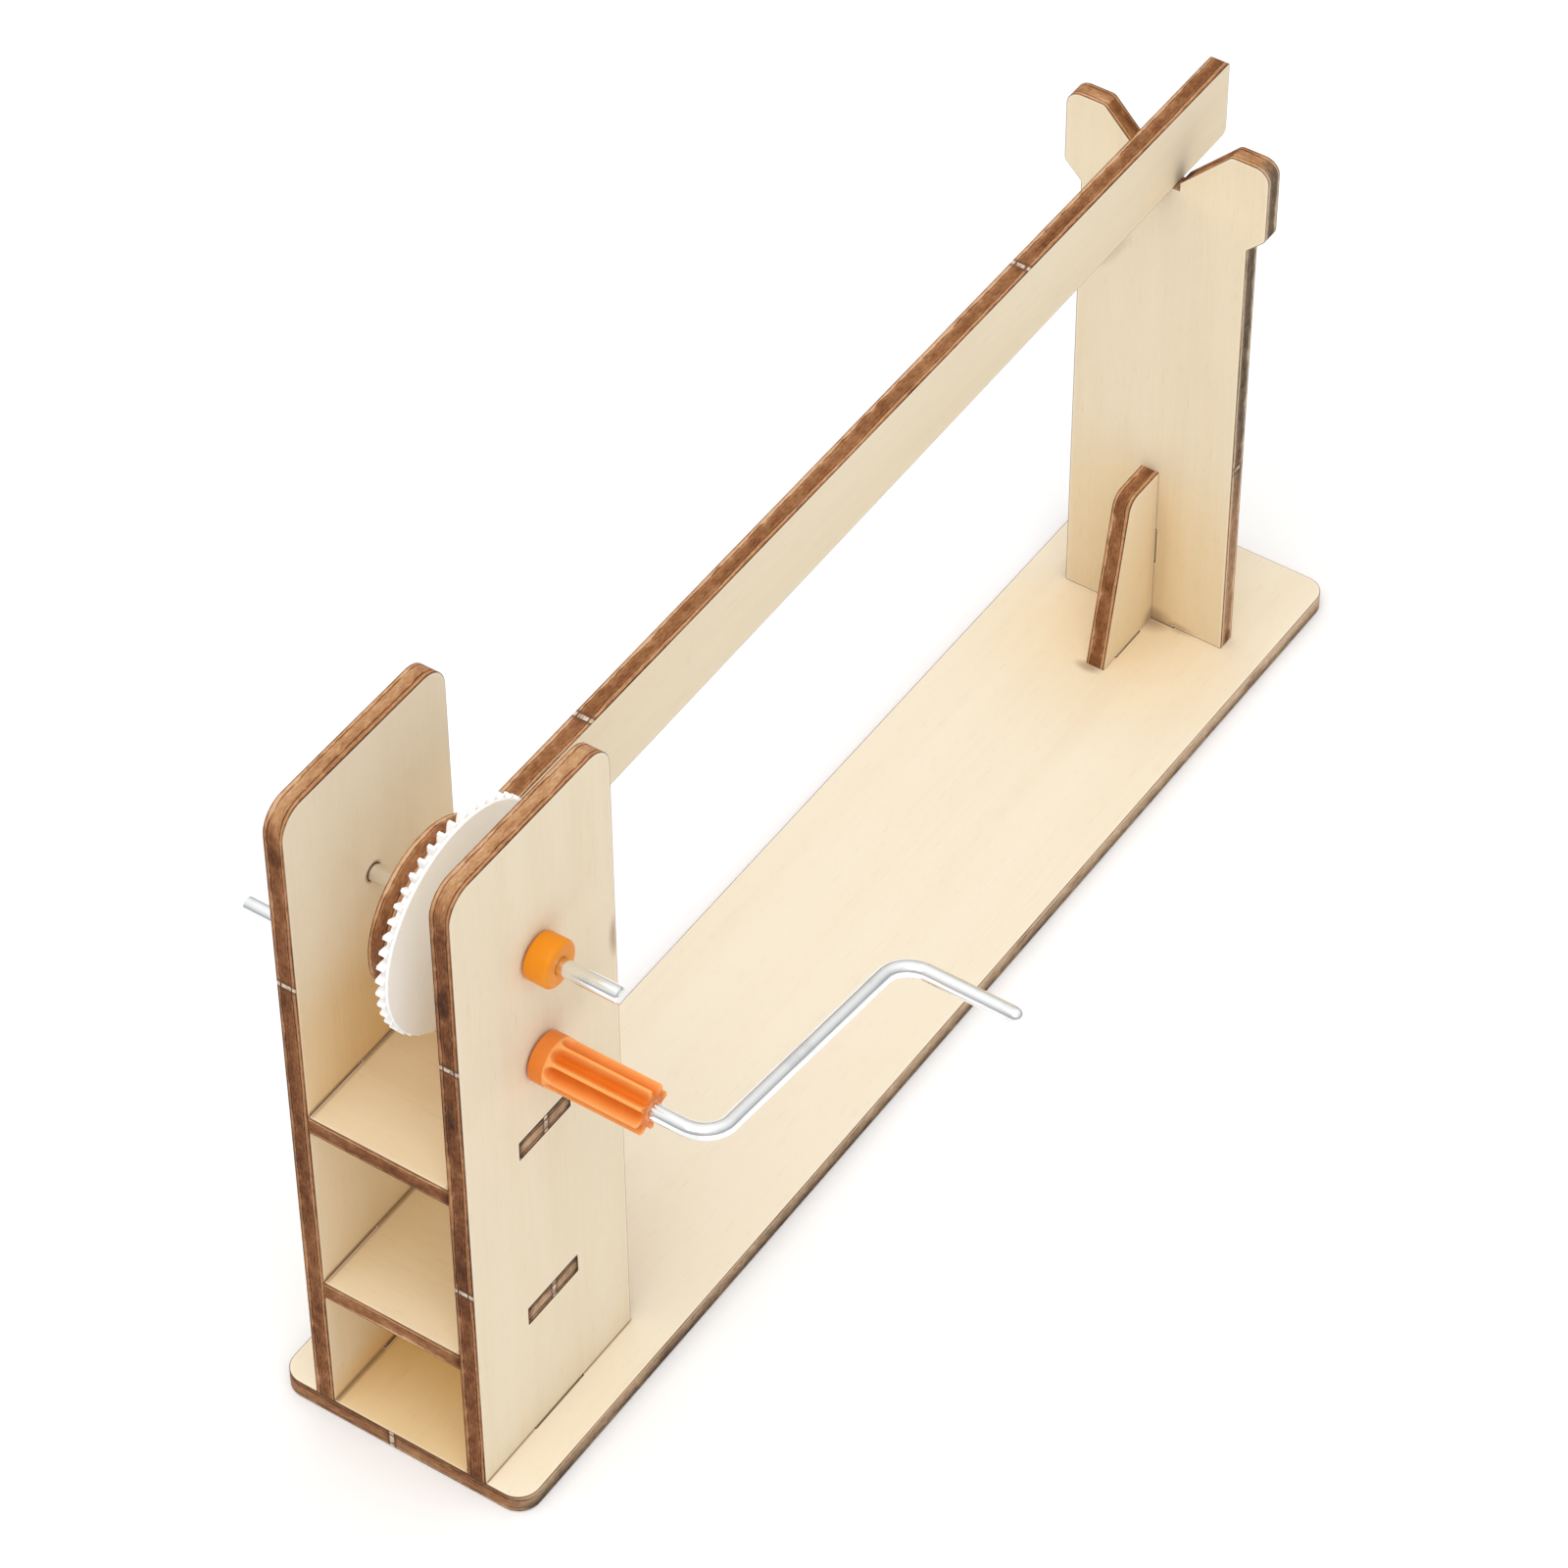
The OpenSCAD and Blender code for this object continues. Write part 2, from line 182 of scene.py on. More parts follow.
def group(name, inputs, outputs):
    """A node group with sockets of these names and types. Gives it, its inputs and outputs."""
    tree = bpy.data.node_groups.new(name, "ShaderNodeTree")
    for way, sockets in (("INPUT", inputs), ("OUTPUT", outputs)):
        for label, kind in sockets.items():
            tree.interface.new_socket(label, in_out=way, socket_type=kind)
    return tree, tree.nodes.new("NodeGroupInput").outputs, tree.nodes.new("NodeGroupOutput").inputs


COLOUR, VALUE, VECTOR = "NodeSocketColor", "NodeSocketFloat", "NodeSocketVector"
SURFACE = {"Color": COLOUR, "Height": VALUE, "Roughness": VALUE}
print("each surface group gives", ", ".join(SURFACE))

# %% [markdown]
# ## Light
#
# The object was photographed on white under broad, soft light. The sky is white and fills the
# shade. It darkens towards the horizon, as the walls of a room do: steel shows what is round
# it, and without that darker band a rod would be a white stripe. The camera itself sees the sky
# as plain white. One wide lamp overhead makes upward faces a little brighter than upright ones,
# and a weak one lights the faces on the crank's side.
#
# The Standard view transform shows a colour as it is written, so the light must be plain: when
# sky and lamp together send about as much light as a white wall would reflect, a colour of 0.8
# comes out as 0.8.

# %% The sky
bpy.context.scene.view_settings.view_transform = "Standard"

HORIZON, OVERHEAD, SEEN = 0.34, 1.18, 1.0      # strength of the sky: low, high, and to the camera
world = bpy.data.worlds.new("soft_sky")
world.use_nodes = True
bpy.context.scene.world = world
aim = put("TexCoord", tree=world.node_tree).outputs["Generated"]
dusk = slope(put("SeparateXYZ", {0: aim}).outputs["Z"], 0.0, 1.0, HORIZON, OVERHEAD)
watched = put("LightPath", tree=world.node_tree).outputs["Is Camera Ray"]
fill(world.node_tree.nodes["Background"].inputs,
     {"Color": (1.0, 1.0, 1.0, 1.0), "Strength": slope(watched, 0.0, 1.0, dusk, SEEN)})

# %% The lamps
def lamp(name, watts, size, place):
    """A square area lamp that points at the middle of the object."""
    data = bpy.data.lights.new(name, "AREA")
    data.energy, data.size = watts, size
    made = bpy.data.objects.new(name, data)
    made.location = place
    made.rotation_euler = (Vector(place) - Vector((0, 0, 0.04))).to_track_quat("Z", "Y").to_euler()
    bpy.context.scene.collection.objects.link(made)
    print(f"{name}: {watts} W from", place)


lamp("key_lamp", 4.2, 0.9, (0.20, -0.45, 1.0))
lamp("side_lamp", 0.15, 0.8, (0.8, -0.6, 0.6))

# %% [markdown]
# ## Veneer: the face of the plywood
#
# The sheets are faced with basswood, one of the plainest woods there is. From arm's length it
# is an even cream. Closer up it has faint bands a few millimetres wide, fine fibres along the
# grain and short darker pores. All three are noise that is stretched: along the grain it
# changes slowly, across the grain quickly. The Grain socket takes a place in metres whose first
# number runs along the grain, so each plate can be cut with its grain in its own direction.
# A picture of wood could be laid on instead, but noise has no seams and never repeats.

# %% The veneer group
veneer, give, take = group(
    "Veneer", {"Grain": VECTOR, "Pale": COLOUR, "Warm": COLOUR, "Light": VALUE}, SURFACE)
bands = cloud(give["Grain"], (9, 170, 170), 3.0)
fibres = cloud(give["Grain"], (90, 3800, 3800), 3.0)
pores = ease(cloud(give["Grain"], (420, 7000, 7000), 1.0), 0.66, 0.78)
stains = ease(cloud(give["Grain"], (35, 55, 55)), 0.45, 0.8)
warmth = times(bands, 0.85, times(fibres, 0.30))
base = tint(times(stains, 0.25), give["Pale"], give["Warm"])
base = tint(ease(warmth, 0.42, 1.05), base, give["Warm"])
dark = tint(1.0, base, (0.80, 0.70, 0.56, 1), "MULTIPLY")
base = tint(times(pores, 0.28), base, dark)
# The last input is painted light: it blends the faces towards a paler cream.
fill(take, {"Color": tint(give["Light"], base, (1.0, 0.95, 0.86, 1)),
            "Height": calc("SUBTRACT", fibres, pores),
            "Roughness": times(fibres, 0.2, 0.5)})
print("veneer group:", len(veneer.nodes), "nodes")

# %% [markdown]
# ## Laser cut: the wall between the two faces
#
# A laser burns its way through the sheet, so the wall is charred. It isn't one brown. The
# middle ply is cut across its fibres and chars darker than the outer two, the glue lines are
# nearly black, and so are the two rims, where the beam enters and leaves. Smoke and the
# machine's small jerks leave streaks through the thickness and patches along the cut.
#
# Each of these could be a colour of its own that is laid over the last, but char is one thing,
# of which there is more or less. So the group adds them up into one number, how burnt the wood
# is, and a colour ramp turns that number into golden brown, red brown or near black. Along and
# Across are the place on the wall, in metres along the cut and from 0 to 1 through the sheet.
# Burn is the wall's own share, Core is how much darker its middle ply is, and Soot blends
# towards a second, greyer ramp.

# %% How burnt the wall is
char, give, take = group("Laser cut", {"Along": VALUE, "Across": VALUE, "Burn": VALUE,
                                       "Core": VALUE, "Soot": VALUE}, SURFACE)
across = give["Across"]
wall = put("CombineXYZ", {0: give["Along"], 1: times(across, PLY * MM)}).outputs[0]
drift, mottles, fibrous = [
    calc("SUBTRACT", cloud(wall, stretch, detail), 0.5)
    for stretch, detail in (((70, 160, 1), 2.0), ((480, 900, 1), 3.0), ((1500, 4200, 1), 2.0))]
spots = ease(cloud(wall, (110, 230, 1), 1.0), 0.64, 0.74)
depth = times(mottles, 0.16, times(drift, 0.3, across))
core = times(ease(depth, 0.16, 0.34), ease(depth, 0.84, 0.66))
glue = calc("PINGPONG", calc("SUBTRACT", depth, 0.21), 0.29)
glue = times(ease(glue, 0.055, 0.0), ease(mottles, -0.35, 0.0))
rims = calc("ADD", ease(across, 0.09, 0.02), ease(across, 0.91, 0.98))
rims = times(rims, ease(drift, -0.4, 0.1))
burn = times(calc("SUBTRACT", core, 0.5), give["Core"], give["Burn"])
for layer, share in ((drift, 0.50), (mottles, 0.60), (fibrous, 0.50), (glue, 0.50), (rims, 0.60),
                     (spots, 0.20)):
    burn = times(layer, share, burn)
relief = times(fibrous, 0.6, mottles)
print("burn is made in", len(char.nodes), "nodes")

# %% From burnt to brown
BROWNS = [(0.64, 0.41, 0.25), (0.51, 0.275, 0.130), (0.36, 0.165, 0.072), (0.240, 0.096, 0.036),
          (0.140, 0.048, 0.018), (0.055, 0.023, 0.013)]
SOOTS = [(0.66, 0.53, 0.38), (0.40, 0.31, 0.205), (0.175, 0.140, 0.095), (0.050, 0.044, 0.034)]


def shaded(value, shades):
    """A colour ramp with its shades spread evenly from 0 to 1."""
    ramp = put("ValToRGB", {0: value})
    stops = ramp.color_ramp.elements
    for place in np.linspace(0, 1, len(shades))[1:-1]:
        stops.new(place)
    for stop, shade in zip(stops, shades):
        stop.color = (*shade, 1)
    return ramp.outputs["Color"]


fill(take, {"Color": tint(give["Soot"], shaded(burn, BROWNS), shaded(burn, SOOTS)),
            "Height": times(glue, -0.4, relief),
            "Roughness": times(burn, 0.25, 0.55)})
print("laser cut group:", len(char.nodes), "nodes")

# %% [markdown]
# ## Sheltered wood: painted shade
#
# Inside the tower the wood is painted warmer and darker than outside, as painted shade and
# painted bounce light: little light reaches it straight from the lamps, and most has bounced off
# other wood first and taken on its colour. The group says how sheltered a place is: most on the
# floor and just above the upper shelf, less in the bays, not at all at the top, and everywhere
# less towards the open front. It also paints a little shade where brace, post and base meet. Its
# numbers are millimetres. An ambient occlusion node could find such places by itself, but it is
# slow and grainy.
#
# Its second output marks what is darker still. Most of it is painted shade: lines in the narrow
# gaps in which two boards meet, the gap round the axle in its hole, soft patches in the corners
# where brace, post and base meet, and a painted shadow on the post under the arm. One patch, on
# the right plate's back edge, is a smoke stain. Each patch is a ball that a Mapping node
# stretches and turns, so its place, radii and tilt can be read off one line.

# %% How sheltered a place is, for painted shade
painted_shelter_shade, give, take = group("Painted shelter shade", {"Place": VECTOR}, {"Fac": VALUE, "Seam": VALUE})
place = put("VectorMath", {0: give["Place"], "Scale": 1 / MM}, operation="SCALE").outputs[0]
x, y, z = put("SeparateXYZ", {0: place}).outputs
aside = calc("ABSOLUTE", x)
# Painted shade and bounce light: how much warmer and darker the wood inside the tower is painted.
inside = times(ease(aside, GAP + 0.8, GAP + 0.1), ease(y, -56.0, -60.0))
low = times(slope(z, PLY + 0.5, PLY + 5.5, 0.86, 0.32), ease(z, 52.0, 50.8))
high = times(ease(z, 50.8, 52.0), ease(z, 78.0, 60.0))
deep = times(times(high, 0.66, low), slope(y, -87.5, -70.0, 0.60, 1.15))
# Painted shade round the foot of the post and brace.
foot = put("VectorMath", {0: place, 1: (0.0, 64.0, 12.0)}, operation="DISTANCE")
foot = times(ease(foot.outputs["Value"], 26.0, 4.0), 0.32)
fill(take, {"Fac": calc("MAXIMUM", times(inside, deep), foot)})
print("shelter is made in", len(painted_shelter_shade.nodes), "nodes")

# %% Painted shade in seams and corners, and one smoke stain
nearest = 99.0                      # farther than any seam
for level in (PLY, LOWER_Z, LOWER_Z + PLY, UPPER_Z, UPPER_Z + PLY):
    nearest = calc("MINIMUM", calc("ABSOLUTE", calc("SUBTRACT", z, level)), nearest)
apart = hypot(calc("SUBTRACT", aside, GAP), nearest)
outer = hypot(calc("SUBTRACT", aside, OUTER), calc("SUBTRACT", z, PLY))
apart = calc("MINIMUM", apart, times(outer, 3.0))         # outside, the seam is a third as wide
# Painted shade along the seams, and below it round the axle in its hole.
shade_and_stain = times(ease(apart, 0.70, 0.15), ease(y, -59.0, -60.0))
hole = hypot(calc("SUBTRACT", y, TOWER_Y), calc("SUBTRACT", z, AXLE_Z))
shade_and_stain = calc("MAXIMUM", shade_and_stain, times(times(ease(hole, 1.50, 1.25), inside), 1.3))
# All these patches are painted shade, except the one on the right plate's back edge, a smoke stain.
SHADE_AND_STAIN_PATCHES = [  # middle, radii, tilt and darkness
    ((1.6, 70.2, 2.6), (3.5, 3.0, 3.0), 0.0, 0.80),        # where brace, post and base meet
    ((5.0, 70.2, 2.8), (3.5, 1.0, 1.0), 0.0, 0.60),        # along the post's foot
    ((1.8, 70.2, 13.0), (2.4, 2.0, 16.0), 0.0, 0.22),      # up the corner over it
    ((-0.8, 58.3, 2.5), (2.4, 1.2, 1.0), 0.0, 0.80),       # at the brace's foot
    ((11.7, -59.8, 67.2), (1.0, 1.4, 4.0), 0.0, 0.80),     # on the right plate's back edge
    # Painted shadow of the arm on the post:
    ((-6.6, 70.2, 60.0), (1.4, 2.0, 5.5), 0.54, 0.35)]     # on the post under the arm
for middle, radii, tilt, dark in SHADE_AND_STAIN_PATCHES:
    ball = put("Mapping", {"Vector": place, "Location": middle, "Rotation": (0.0, tilt, 0.0),
                           "Scale": radii}, vector_type="TEXTURE").outputs[0]
    ball = put("VectorMath", {0: ball}, operation="LENGTH").outputs["Value"]
    shade_and_stain = calc("MAXIMUM", shade_and_stain, times(ease(ball, 1.0, 0.2), dark))
fill(take, {"Seam": shade_and_stain})
print("sheltered group:", len(painted_shelter_shade.nodes), "nodes")

# %% [markdown]
# ## The plywood material
#
# One material serves every plate. The meshes tell it what is what: the mark called wall is 1 on
# the cut, a rim mark fades from 1 at the rim to 0 a little way into the face, nib is the distance
# to the nearest bridge in mm, and char is how hard that stretch of the cut was burnt. The rim
# mark gives the face a brown smoke stain right at the rim and, a little further in, a pale line
# that is a painted highlight of the rim. One more mark is painted light that makes a plate's
# faces paler. A bridge is a hair-wide spot that the laser skips so that the piece stays in its
# sheet. It is snapped when the piece is pushed out, so it shows as a pale tick in the brown wall.
#
# Faces and walls could have a material each, but then the brown fringe that smoke leaves on a
# face would end in a hard line.

# %% The colour of the faces
plywood, tree, shader = material("plywood", {"Specular IOR Level": 0.10})
PALE, WARM = (0.850, 0.738, 0.552, 1), (0.790, 0.655, 0.455, 1)

here = put("SeparateXYZ", {0: put("UVMap", tree=tree, uv_map="cut").outputs["UV"]}).outputs
grain = mark(tree, "grain", "Vector")
face = put("Group", {"Grain": grain, "Pale": PALE, "Warm": WARM, "Light": mark(tree, "painted_light")},
           node_tree=veneer).outputs
charred = put("SeparateXYZ", {0: mark(tree, "char", "Vector")}).outputs
cut = put("Group", {"Along": here[0], "Across": here[1], "Burn": charred[0], "Core": charred[1],
                    "Soot": charred[2]}, node_tree=char).outputs
painted_shade_and_stain = put("Group", {"Place": put("TexCoord", tree=tree).outputs["Object"]},
              node_tree=painted_shelter_shade).outputs
# Painted shade: warmer, darker wood inside the tower, darker seams, corners and arm shadow, one smoke
# stain.
skin = tint(painted_shade_and_stain["Fac"], face["Color"], (0.958, 0.72, 0.314, 1), "MULTIPLY")
skin = tint(times(painted_shade_and_stain["Seam"], 0.75), skin, (0.34, 0.20, 0.09, 1))
rim_smoke_and_highlight = mark(tree, "rim_smoke_and_highlight")
smoke = ease(rim_smoke_and_highlight, 0.68, 0.95)
# Painted highlight: a pale line on the face just inside the smoke, where the rim catches the light.
painted_rim_highlight = times(ease(rim_smoke_and_highlight, 0.10, 0.55), calc("SUBTRACT", 1.0, smoke))
skin = tint(times(painted_rim_highlight, 0.45), skin, (0.95, 0.87, 0.74, 1))
skin = tint(times(smoke, 0.75), skin, (0.30, 0.16, 0.085, 1))
print("the faces' colour is made in", len(tree.nodes), "nodes")

# %% The colour of the cut, and both together
# Paler in patches along the cut's sharp rims.
pale_rim_patches = times(ease(cloud(grain, (260, 700, 700)), 0.56, 0.66), ease(mark(tree, "edge"), 0.05, 0.2))
burnt = tint(times(pale_rim_patches, 0.5), cut["Color"], (0.60, 0.36, 0.19, 1))
nib = mark(tree, "nib")
scar = times(ease(nib, 0.36, 0.22), ease(cut["Height"], -0.25, 0.15))
burnt = tint(times(ease(nib, 0.9, 0.4), 0.70), burnt, (0.10, 0.05, 0.035, 1))
burnt = tint(times(scar, 0.90), burnt, (0.80, 0.65, 0.48, 1))
wall = ease(mark(tree, "wall"), 0.25, 0.6)
height = put("Mix", {0: wall, 2: times(face["Height"], 0.25), 3: calc("ADD", cut["Height"], scar)})
rough = put("Mix", {0: wall, 2: face["Roughness"], 3: cut["Roughness"]})
fill(shader, {"Base Color": tint(wall, skin, burnt), "Roughness": rough.outputs[0],
              "Normal": bump(height.outputs[0], 0.00008, 0.8)})
print("plywood material:", len(tree.nodes), "nodes")

# %% [markdown]
# ## Moulded plastic
#
# The gear, the bushes and the grip are injection moulded. Such plastic is one colour all
# through, but here it is not drawn as one flat colour: crests and rims are painted paler, a
# painted highlight, and hollows deeper, a painted shade, and the skin has a faint cloudiness
# and the fine texture of the steel mould. The group takes a deep and a pale version of the
# colour and a number for how much painted light a spot gets, and it gives a colour, a height
# and a roughness. Geometry's Pointiness could find the crests too, but it hangs on how fine
# the mesh is, so each mesh brings its own number along.

# %% The moulded group
moulded, give, take = group("Moulded", {"Place": VECTOR, "Deep": COLOUR, "Pale": COLOUR,
                                        "Painted crest light": VALUE, "Edge": VALUE}, SURFACE)
clouds = cloud(give["Place"], (330, 330, 330))
texture = cloud(give["Place"], (9000, 9000, 9000), 1.0)
scuffs = ease(cloud(give["Place"], (900, 2600, 2600)), 0.62, 0.72)
# Painted highlight and shade: spots with a high crest number and sharp rims are paler, hollows
# deeper.
pale = times(calc("SUBTRACT", clouds, 0.5), 0.25, give["Painted crest light"])
pale = put("Clamp", {0: calc("ADD", pale, ease(give["Edge"], 0.03, 0.35))}).outputs[0]
rough = times(clouds, 0.15, 0.30)
fill(take, {"Color": tint(pale, give["Deep"], give["Pale"]),
            "Height": times(clouds, 0.6, texture),
            "Roughness": times(scuffs, 0.14, rough)})

# %% Three plastics
def plastic(name, deep, pale):
    """A moulded material in a deep and a pale colour."""
    made, tree, shader = material(name, {"Specular IOR Level": 0.2})
    look = put("Group", {"Place": put("TexCoord", tree=tree).outputs["Object"],
                         "Deep": deep, "Pale": pale, "Painted crest light": mark(tree, "stand"),
                         "Edge": mark(tree, "edge")}, node_tree=moulded).outputs
    fill(shader, {"Base Color": look["Color"], "Roughness": look["Roughness"],
                  "Normal": bump(look["Height"], 0.00001, 0.6)})
    print(name, "material:", len(tree.nodes), "nodes")
    return made


white_plastic = plastic("white_plastic", (0.98, 0.965, 0.955, 1), (0.985, 0.98, 0.98, 1))
bush_plastic = plastic("bush_plastic", (0.77, 0.225, 0.005, 1), (0.92, 0.36, 0.020, 1))
grip_plastic = plastic("grip_plastic", (0.74, 0.165, 0.007, 1), (0.97, 0.44, 0.14, 1))

# %% [markdown]
# ## Drawn steel
#
# The axle and the crank are nickel-plated steel rod that was pulled through a die, which
# leaves hair-fine lines along it. The lines are noise that changes fast round the rod and
# slowly along it. Metallic is 1, so the base colour tints the reflections. Ends that were
# sheared off are duller, and small dull spots show where hands have touched the plating. The
# shader's Anisotropic value could stand in for the lines, but so close up each of them shows.

# %% The steel material
steel, tree, shader = material("drawn_steel", {"Metallic": 1.0})
lines = cloud(put("UVMap", tree=tree, uv_map="cut").outputs["UV"], (25, 60, 1), 3.0)
dull = cloud(put("TexCoord", tree=tree).outputs["Object"], (240, 240, 240), 3.0)
tone = times(lines, 0.28, times(ease(dull, 0.52, 0.7), 0.30))
tone = calc("MAXIMUM", tone, ease(mark(tree, "edge"), 0.02, 0.2))
fill(shader, {"Base Color": tint(tone, (0.95, 0.955, 0.96, 1), (0.62, 0.63, 0.64, 1)),
              "Roughness": times(tone, 0.20, 0.10),
              "Normal": bump(lines, 0.00001, 0.7)})
print("steel material:", len(tree.nodes), "nodes")

# %% [markdown]
# ## From points to an object
#
# Every piece below is worked out as arrays: points, faces as rows of point numbers, a place in
# the UV map for every face corner, and marks, which are numbers that the points keep for the
# materials. A shape is a small dictionary of these, and two shapes can be joined. Curves and
# modifiers could make most of these shapes too, but arrays put every point where a formula
# says, and let it keep its marks.
#
# When the object is made, one more mark is measured: edge. At a point where the surface turns
# sharply, the point's own normal and the normals of its faces differ, and one minus their dot
# product says by how much. It is 0 on a flat and grows towards 1 on a rim.

# %% Shapes
def unit(v):
    """Each row of v at length 1."""
    return v / np.linalg.norm(v, axis=-1, keepdims=True)


def shape(points, faces, corners, **marks):
    """points (n, 3) in mm; faces, arrays whose rows have equally many sides; corners, their UVs."""
    return {"points": points, "faces": faces, "corners": corners, "marks": marks}


def joined(first, second):
    """Two shapes as one, with the second's faces renumbered."""
    moved = [f + len(first["points"]) for f in second["faces"]]
    return {"points": np.concatenate([first["points"], second["points"]]),
            "faces": first["faces"] + moved, "corners": first["corners"] + second["corners"],
            "marks": {k: np.concatenate([v, second["marks"][k]]) for k, v in first["marks"].items()}}

# %% How sharp each point is
CRISP = 32                          # faces that meet at a larger angle keep a crisp edge


def read(items, field, width):
    """One field of all points, corners or faces of a mesh, as rows of this width."""
    values = np.zeros((len(items), width), np.float32 if field == "vector" else int)
    items.foreach_get(field, values.reshape(-1))
    return values


def edges(mesh):
    """How sharply the surface turns at each point."""
    flats = np.repeat(read(mesh.polygon_normals, "vector", 3),
                      read(mesh.polygons, "loop_total", 1)[:, 0], axis=0)
    corners = read(mesh.loops, "vertex_index", 1)[:, 0]
    agree = (read(mesh.vertex_normals, "vector", 3)[corners] * flats).sum(1)
    least = np.ones(len(mesh.vertices))
    np.minimum.at(least, corners, agree)
    return 1 - least

# %% From a shape to a piece
def piece(name, made, finish, body, node):
    """Makes the object, gives it its material, ties it to its body and hides the frame's part that it
    stands for.
    """
    mesh = bpy.data.meshes.new(name)
    rows = [row for table in made["faces"] for row in table.tolist()]
    mesh.from_pydata((made["points"] * MM).tolist(), [], rows)
    uv = np.concatenate([corners.reshape(-1) for corners in made["corners"]])
    mesh.uv_layers.new(name="cut").data.foreach_set("uv", uv.astype(np.float32))
    mesh.polygons.foreach_set("use_smooth", [True] * len(mesh.polygons))
    mesh.set_sharp_from_angle(angle=np.radians(CRISP))
    for label, values in {**made["marks"], "edge": edges(mesh)}.items():
        kind, field = ("FLOAT_VECTOR", "vector") if values.ndim == 2 else ("FLOAT", "value")
        data = mesh.attributes.new(label, kind, "POINT").data
        data.foreach_set(field, values.reshape(-1).astype(np.float32))
    mesh.materials.append(finish)
    obj = bpy.data.objects.new(name, mesh)
    bpy.context.scene.collection.objects.link(obj)
    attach(obj, body)
    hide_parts(node)
    print(f"{name}: {len(mesh.polygons)} faces, {len(mesh.vertices)} points, stands for {node}")

# %% A grid of points
def grid(along, across, loop=False):
    """Faces and UVs of a grid of points, with one value of across for each row, and of along for
    each line between columns. The last column joins the first, and if asked the last row too."""
    rows, columns = len(across), len(along) - 1
    i, j = np.indices((rows - (not loop), columns)).reshape(2, -1)
    far_i, far_j = (i + 1) % rows, (j + 1) % columns
    row, far_row = i * columns, far_i * columns
    table = np.stack([row + j, row + far_j, far_row + far_j, far_row + j], 1)
    right, up = along[j + 1], across[np.minimum(i + 1, rows - 1)]
    uv = np.stack([along[j], across[i], right, across[i], right, up, along[j], up], 1)
    return table, uv.reshape(-1, 4, 2)

# %% [markdown]
# ## Cutting a plate
#
# A laser-cut plate is an outline, some holes, and a wall between two faces. Real outlines have
# no perfectly sharp corner, so each corner becomes an arc. The arc's centre lies on the line
# that halves the corner, and its sweep is the angle by which the outline bends there.
#
# The wall's profile is carried along each outline: in from the lower face, round the lower
# rim, up the wall, round the upper rim and in on the upper face. Each step of the profile is an
# inset and a height. To inset an outline cleanly, its corners move along the mitre and the
# arcs shrink or grow by the inset, so that the rings never cross.
#
# A filled curve with Solidify and Bevel modifiers would have much the same shape, but it
# wouldn't know how far along the cut and how deep in the sheet a point lies, and the char
# depends on both.

# %% An outline with round corners, inset
LEAST_R, NO_NIB = 0.02, 20.0        # smallest radius of an arc, and the distance where no nib is


def carried(corners, radii, insets, bits, step, nibs):
    """One ring of points for each inset. Corners run with the wood on their left; each bend is
    an arc of bits parts; straight runs are split so that no part is longer than step mm, and
    a point that falls on the one before it is left out. The points nearest the nibs are slid
    onto them. Also gives the directions that point out of the wood and the distances to the
    nearest nib."""
    q = np.array(corners, float)
    ahead = unit(np.roll(q, -1, 0) - q)
    left = np.stack([-ahead[:, 1], ahead[:, 0]], 1)
    behind = np.roll(left, 1, 0)
    mitre = (left + behind) / (1 + (left * behind).sum(1))[:, None]
    bend = np.arctan2(behind[:, 0] * left[:, 1] - behind[:, 1] * left[:, 0], (behind * left).sum(1))
    turn = np.sign(bend)
    radii = np.broadcast_to(np.array(radii, float), len(q))
    bits = bits if radii.max() > 0 else 0
    parts = np.linspace(0, 1, bits + 1)

    def ring(inset):
        r = np.maximum(radii - inset * turn, LEAST_R) if bits else np.zeros(len(q))
        centre = q + mitre * (inset + r * turn)[:, None]
        first = np.arctan2(-behind[:, 1] * turn, -behind[:, 0] * turn)
        angle = first[:, None] + bend[:, None] * parts
        arcs = centre[:, None] + r[:, None, None] * np.stack([np.cos(angle), np.sin(angle)], 2)
        return arcs.reshape(-1, 2)

    a = ring(0.0)
    b = np.roll(a, -1, 0)
    gap = np.linalg.norm(b - a, axis=1)
    count = np.where(gap > 1e-6, np.maximum(1, np.ceil(gap / step)), 0).astype(int)
    which = np.repeat(np.arange(len(a)), count)
    share = (np.arange(len(which)) - np.repeat(np.cumsum(count) - count, count)) / count[which]
    line = a[which] + (b - a)[which] * share[:, None]
    away = np.full(len(line), NO_NIB)
    for spot in np.array(nibs, float).reshape(-1, 2):
        k = np.argmin(np.linalg.norm(line - spot, axis=1))
        side = (b - a)[which[k]]
        share[k] = np.clip(((spot - a[which[k]]) * side).sum() / (side * side).sum(), 0, 0.99)
        line[k] = a[which[k]] + side * share[k]
        away = np.minimum(away, np.linalg.norm(line - line[k], axis=1))
    rings = [c[which] + (np.roll(c, -1, 0) - c)[which] * share[:, None] for c in map(ring, insets)]
    step_on = unit(np.roll(line, -1, 0) - np.roll(line, 1, 0))
    return np.array(rings), np.stack([step_on[:, 1], -step_on[:, 0]], 1), away

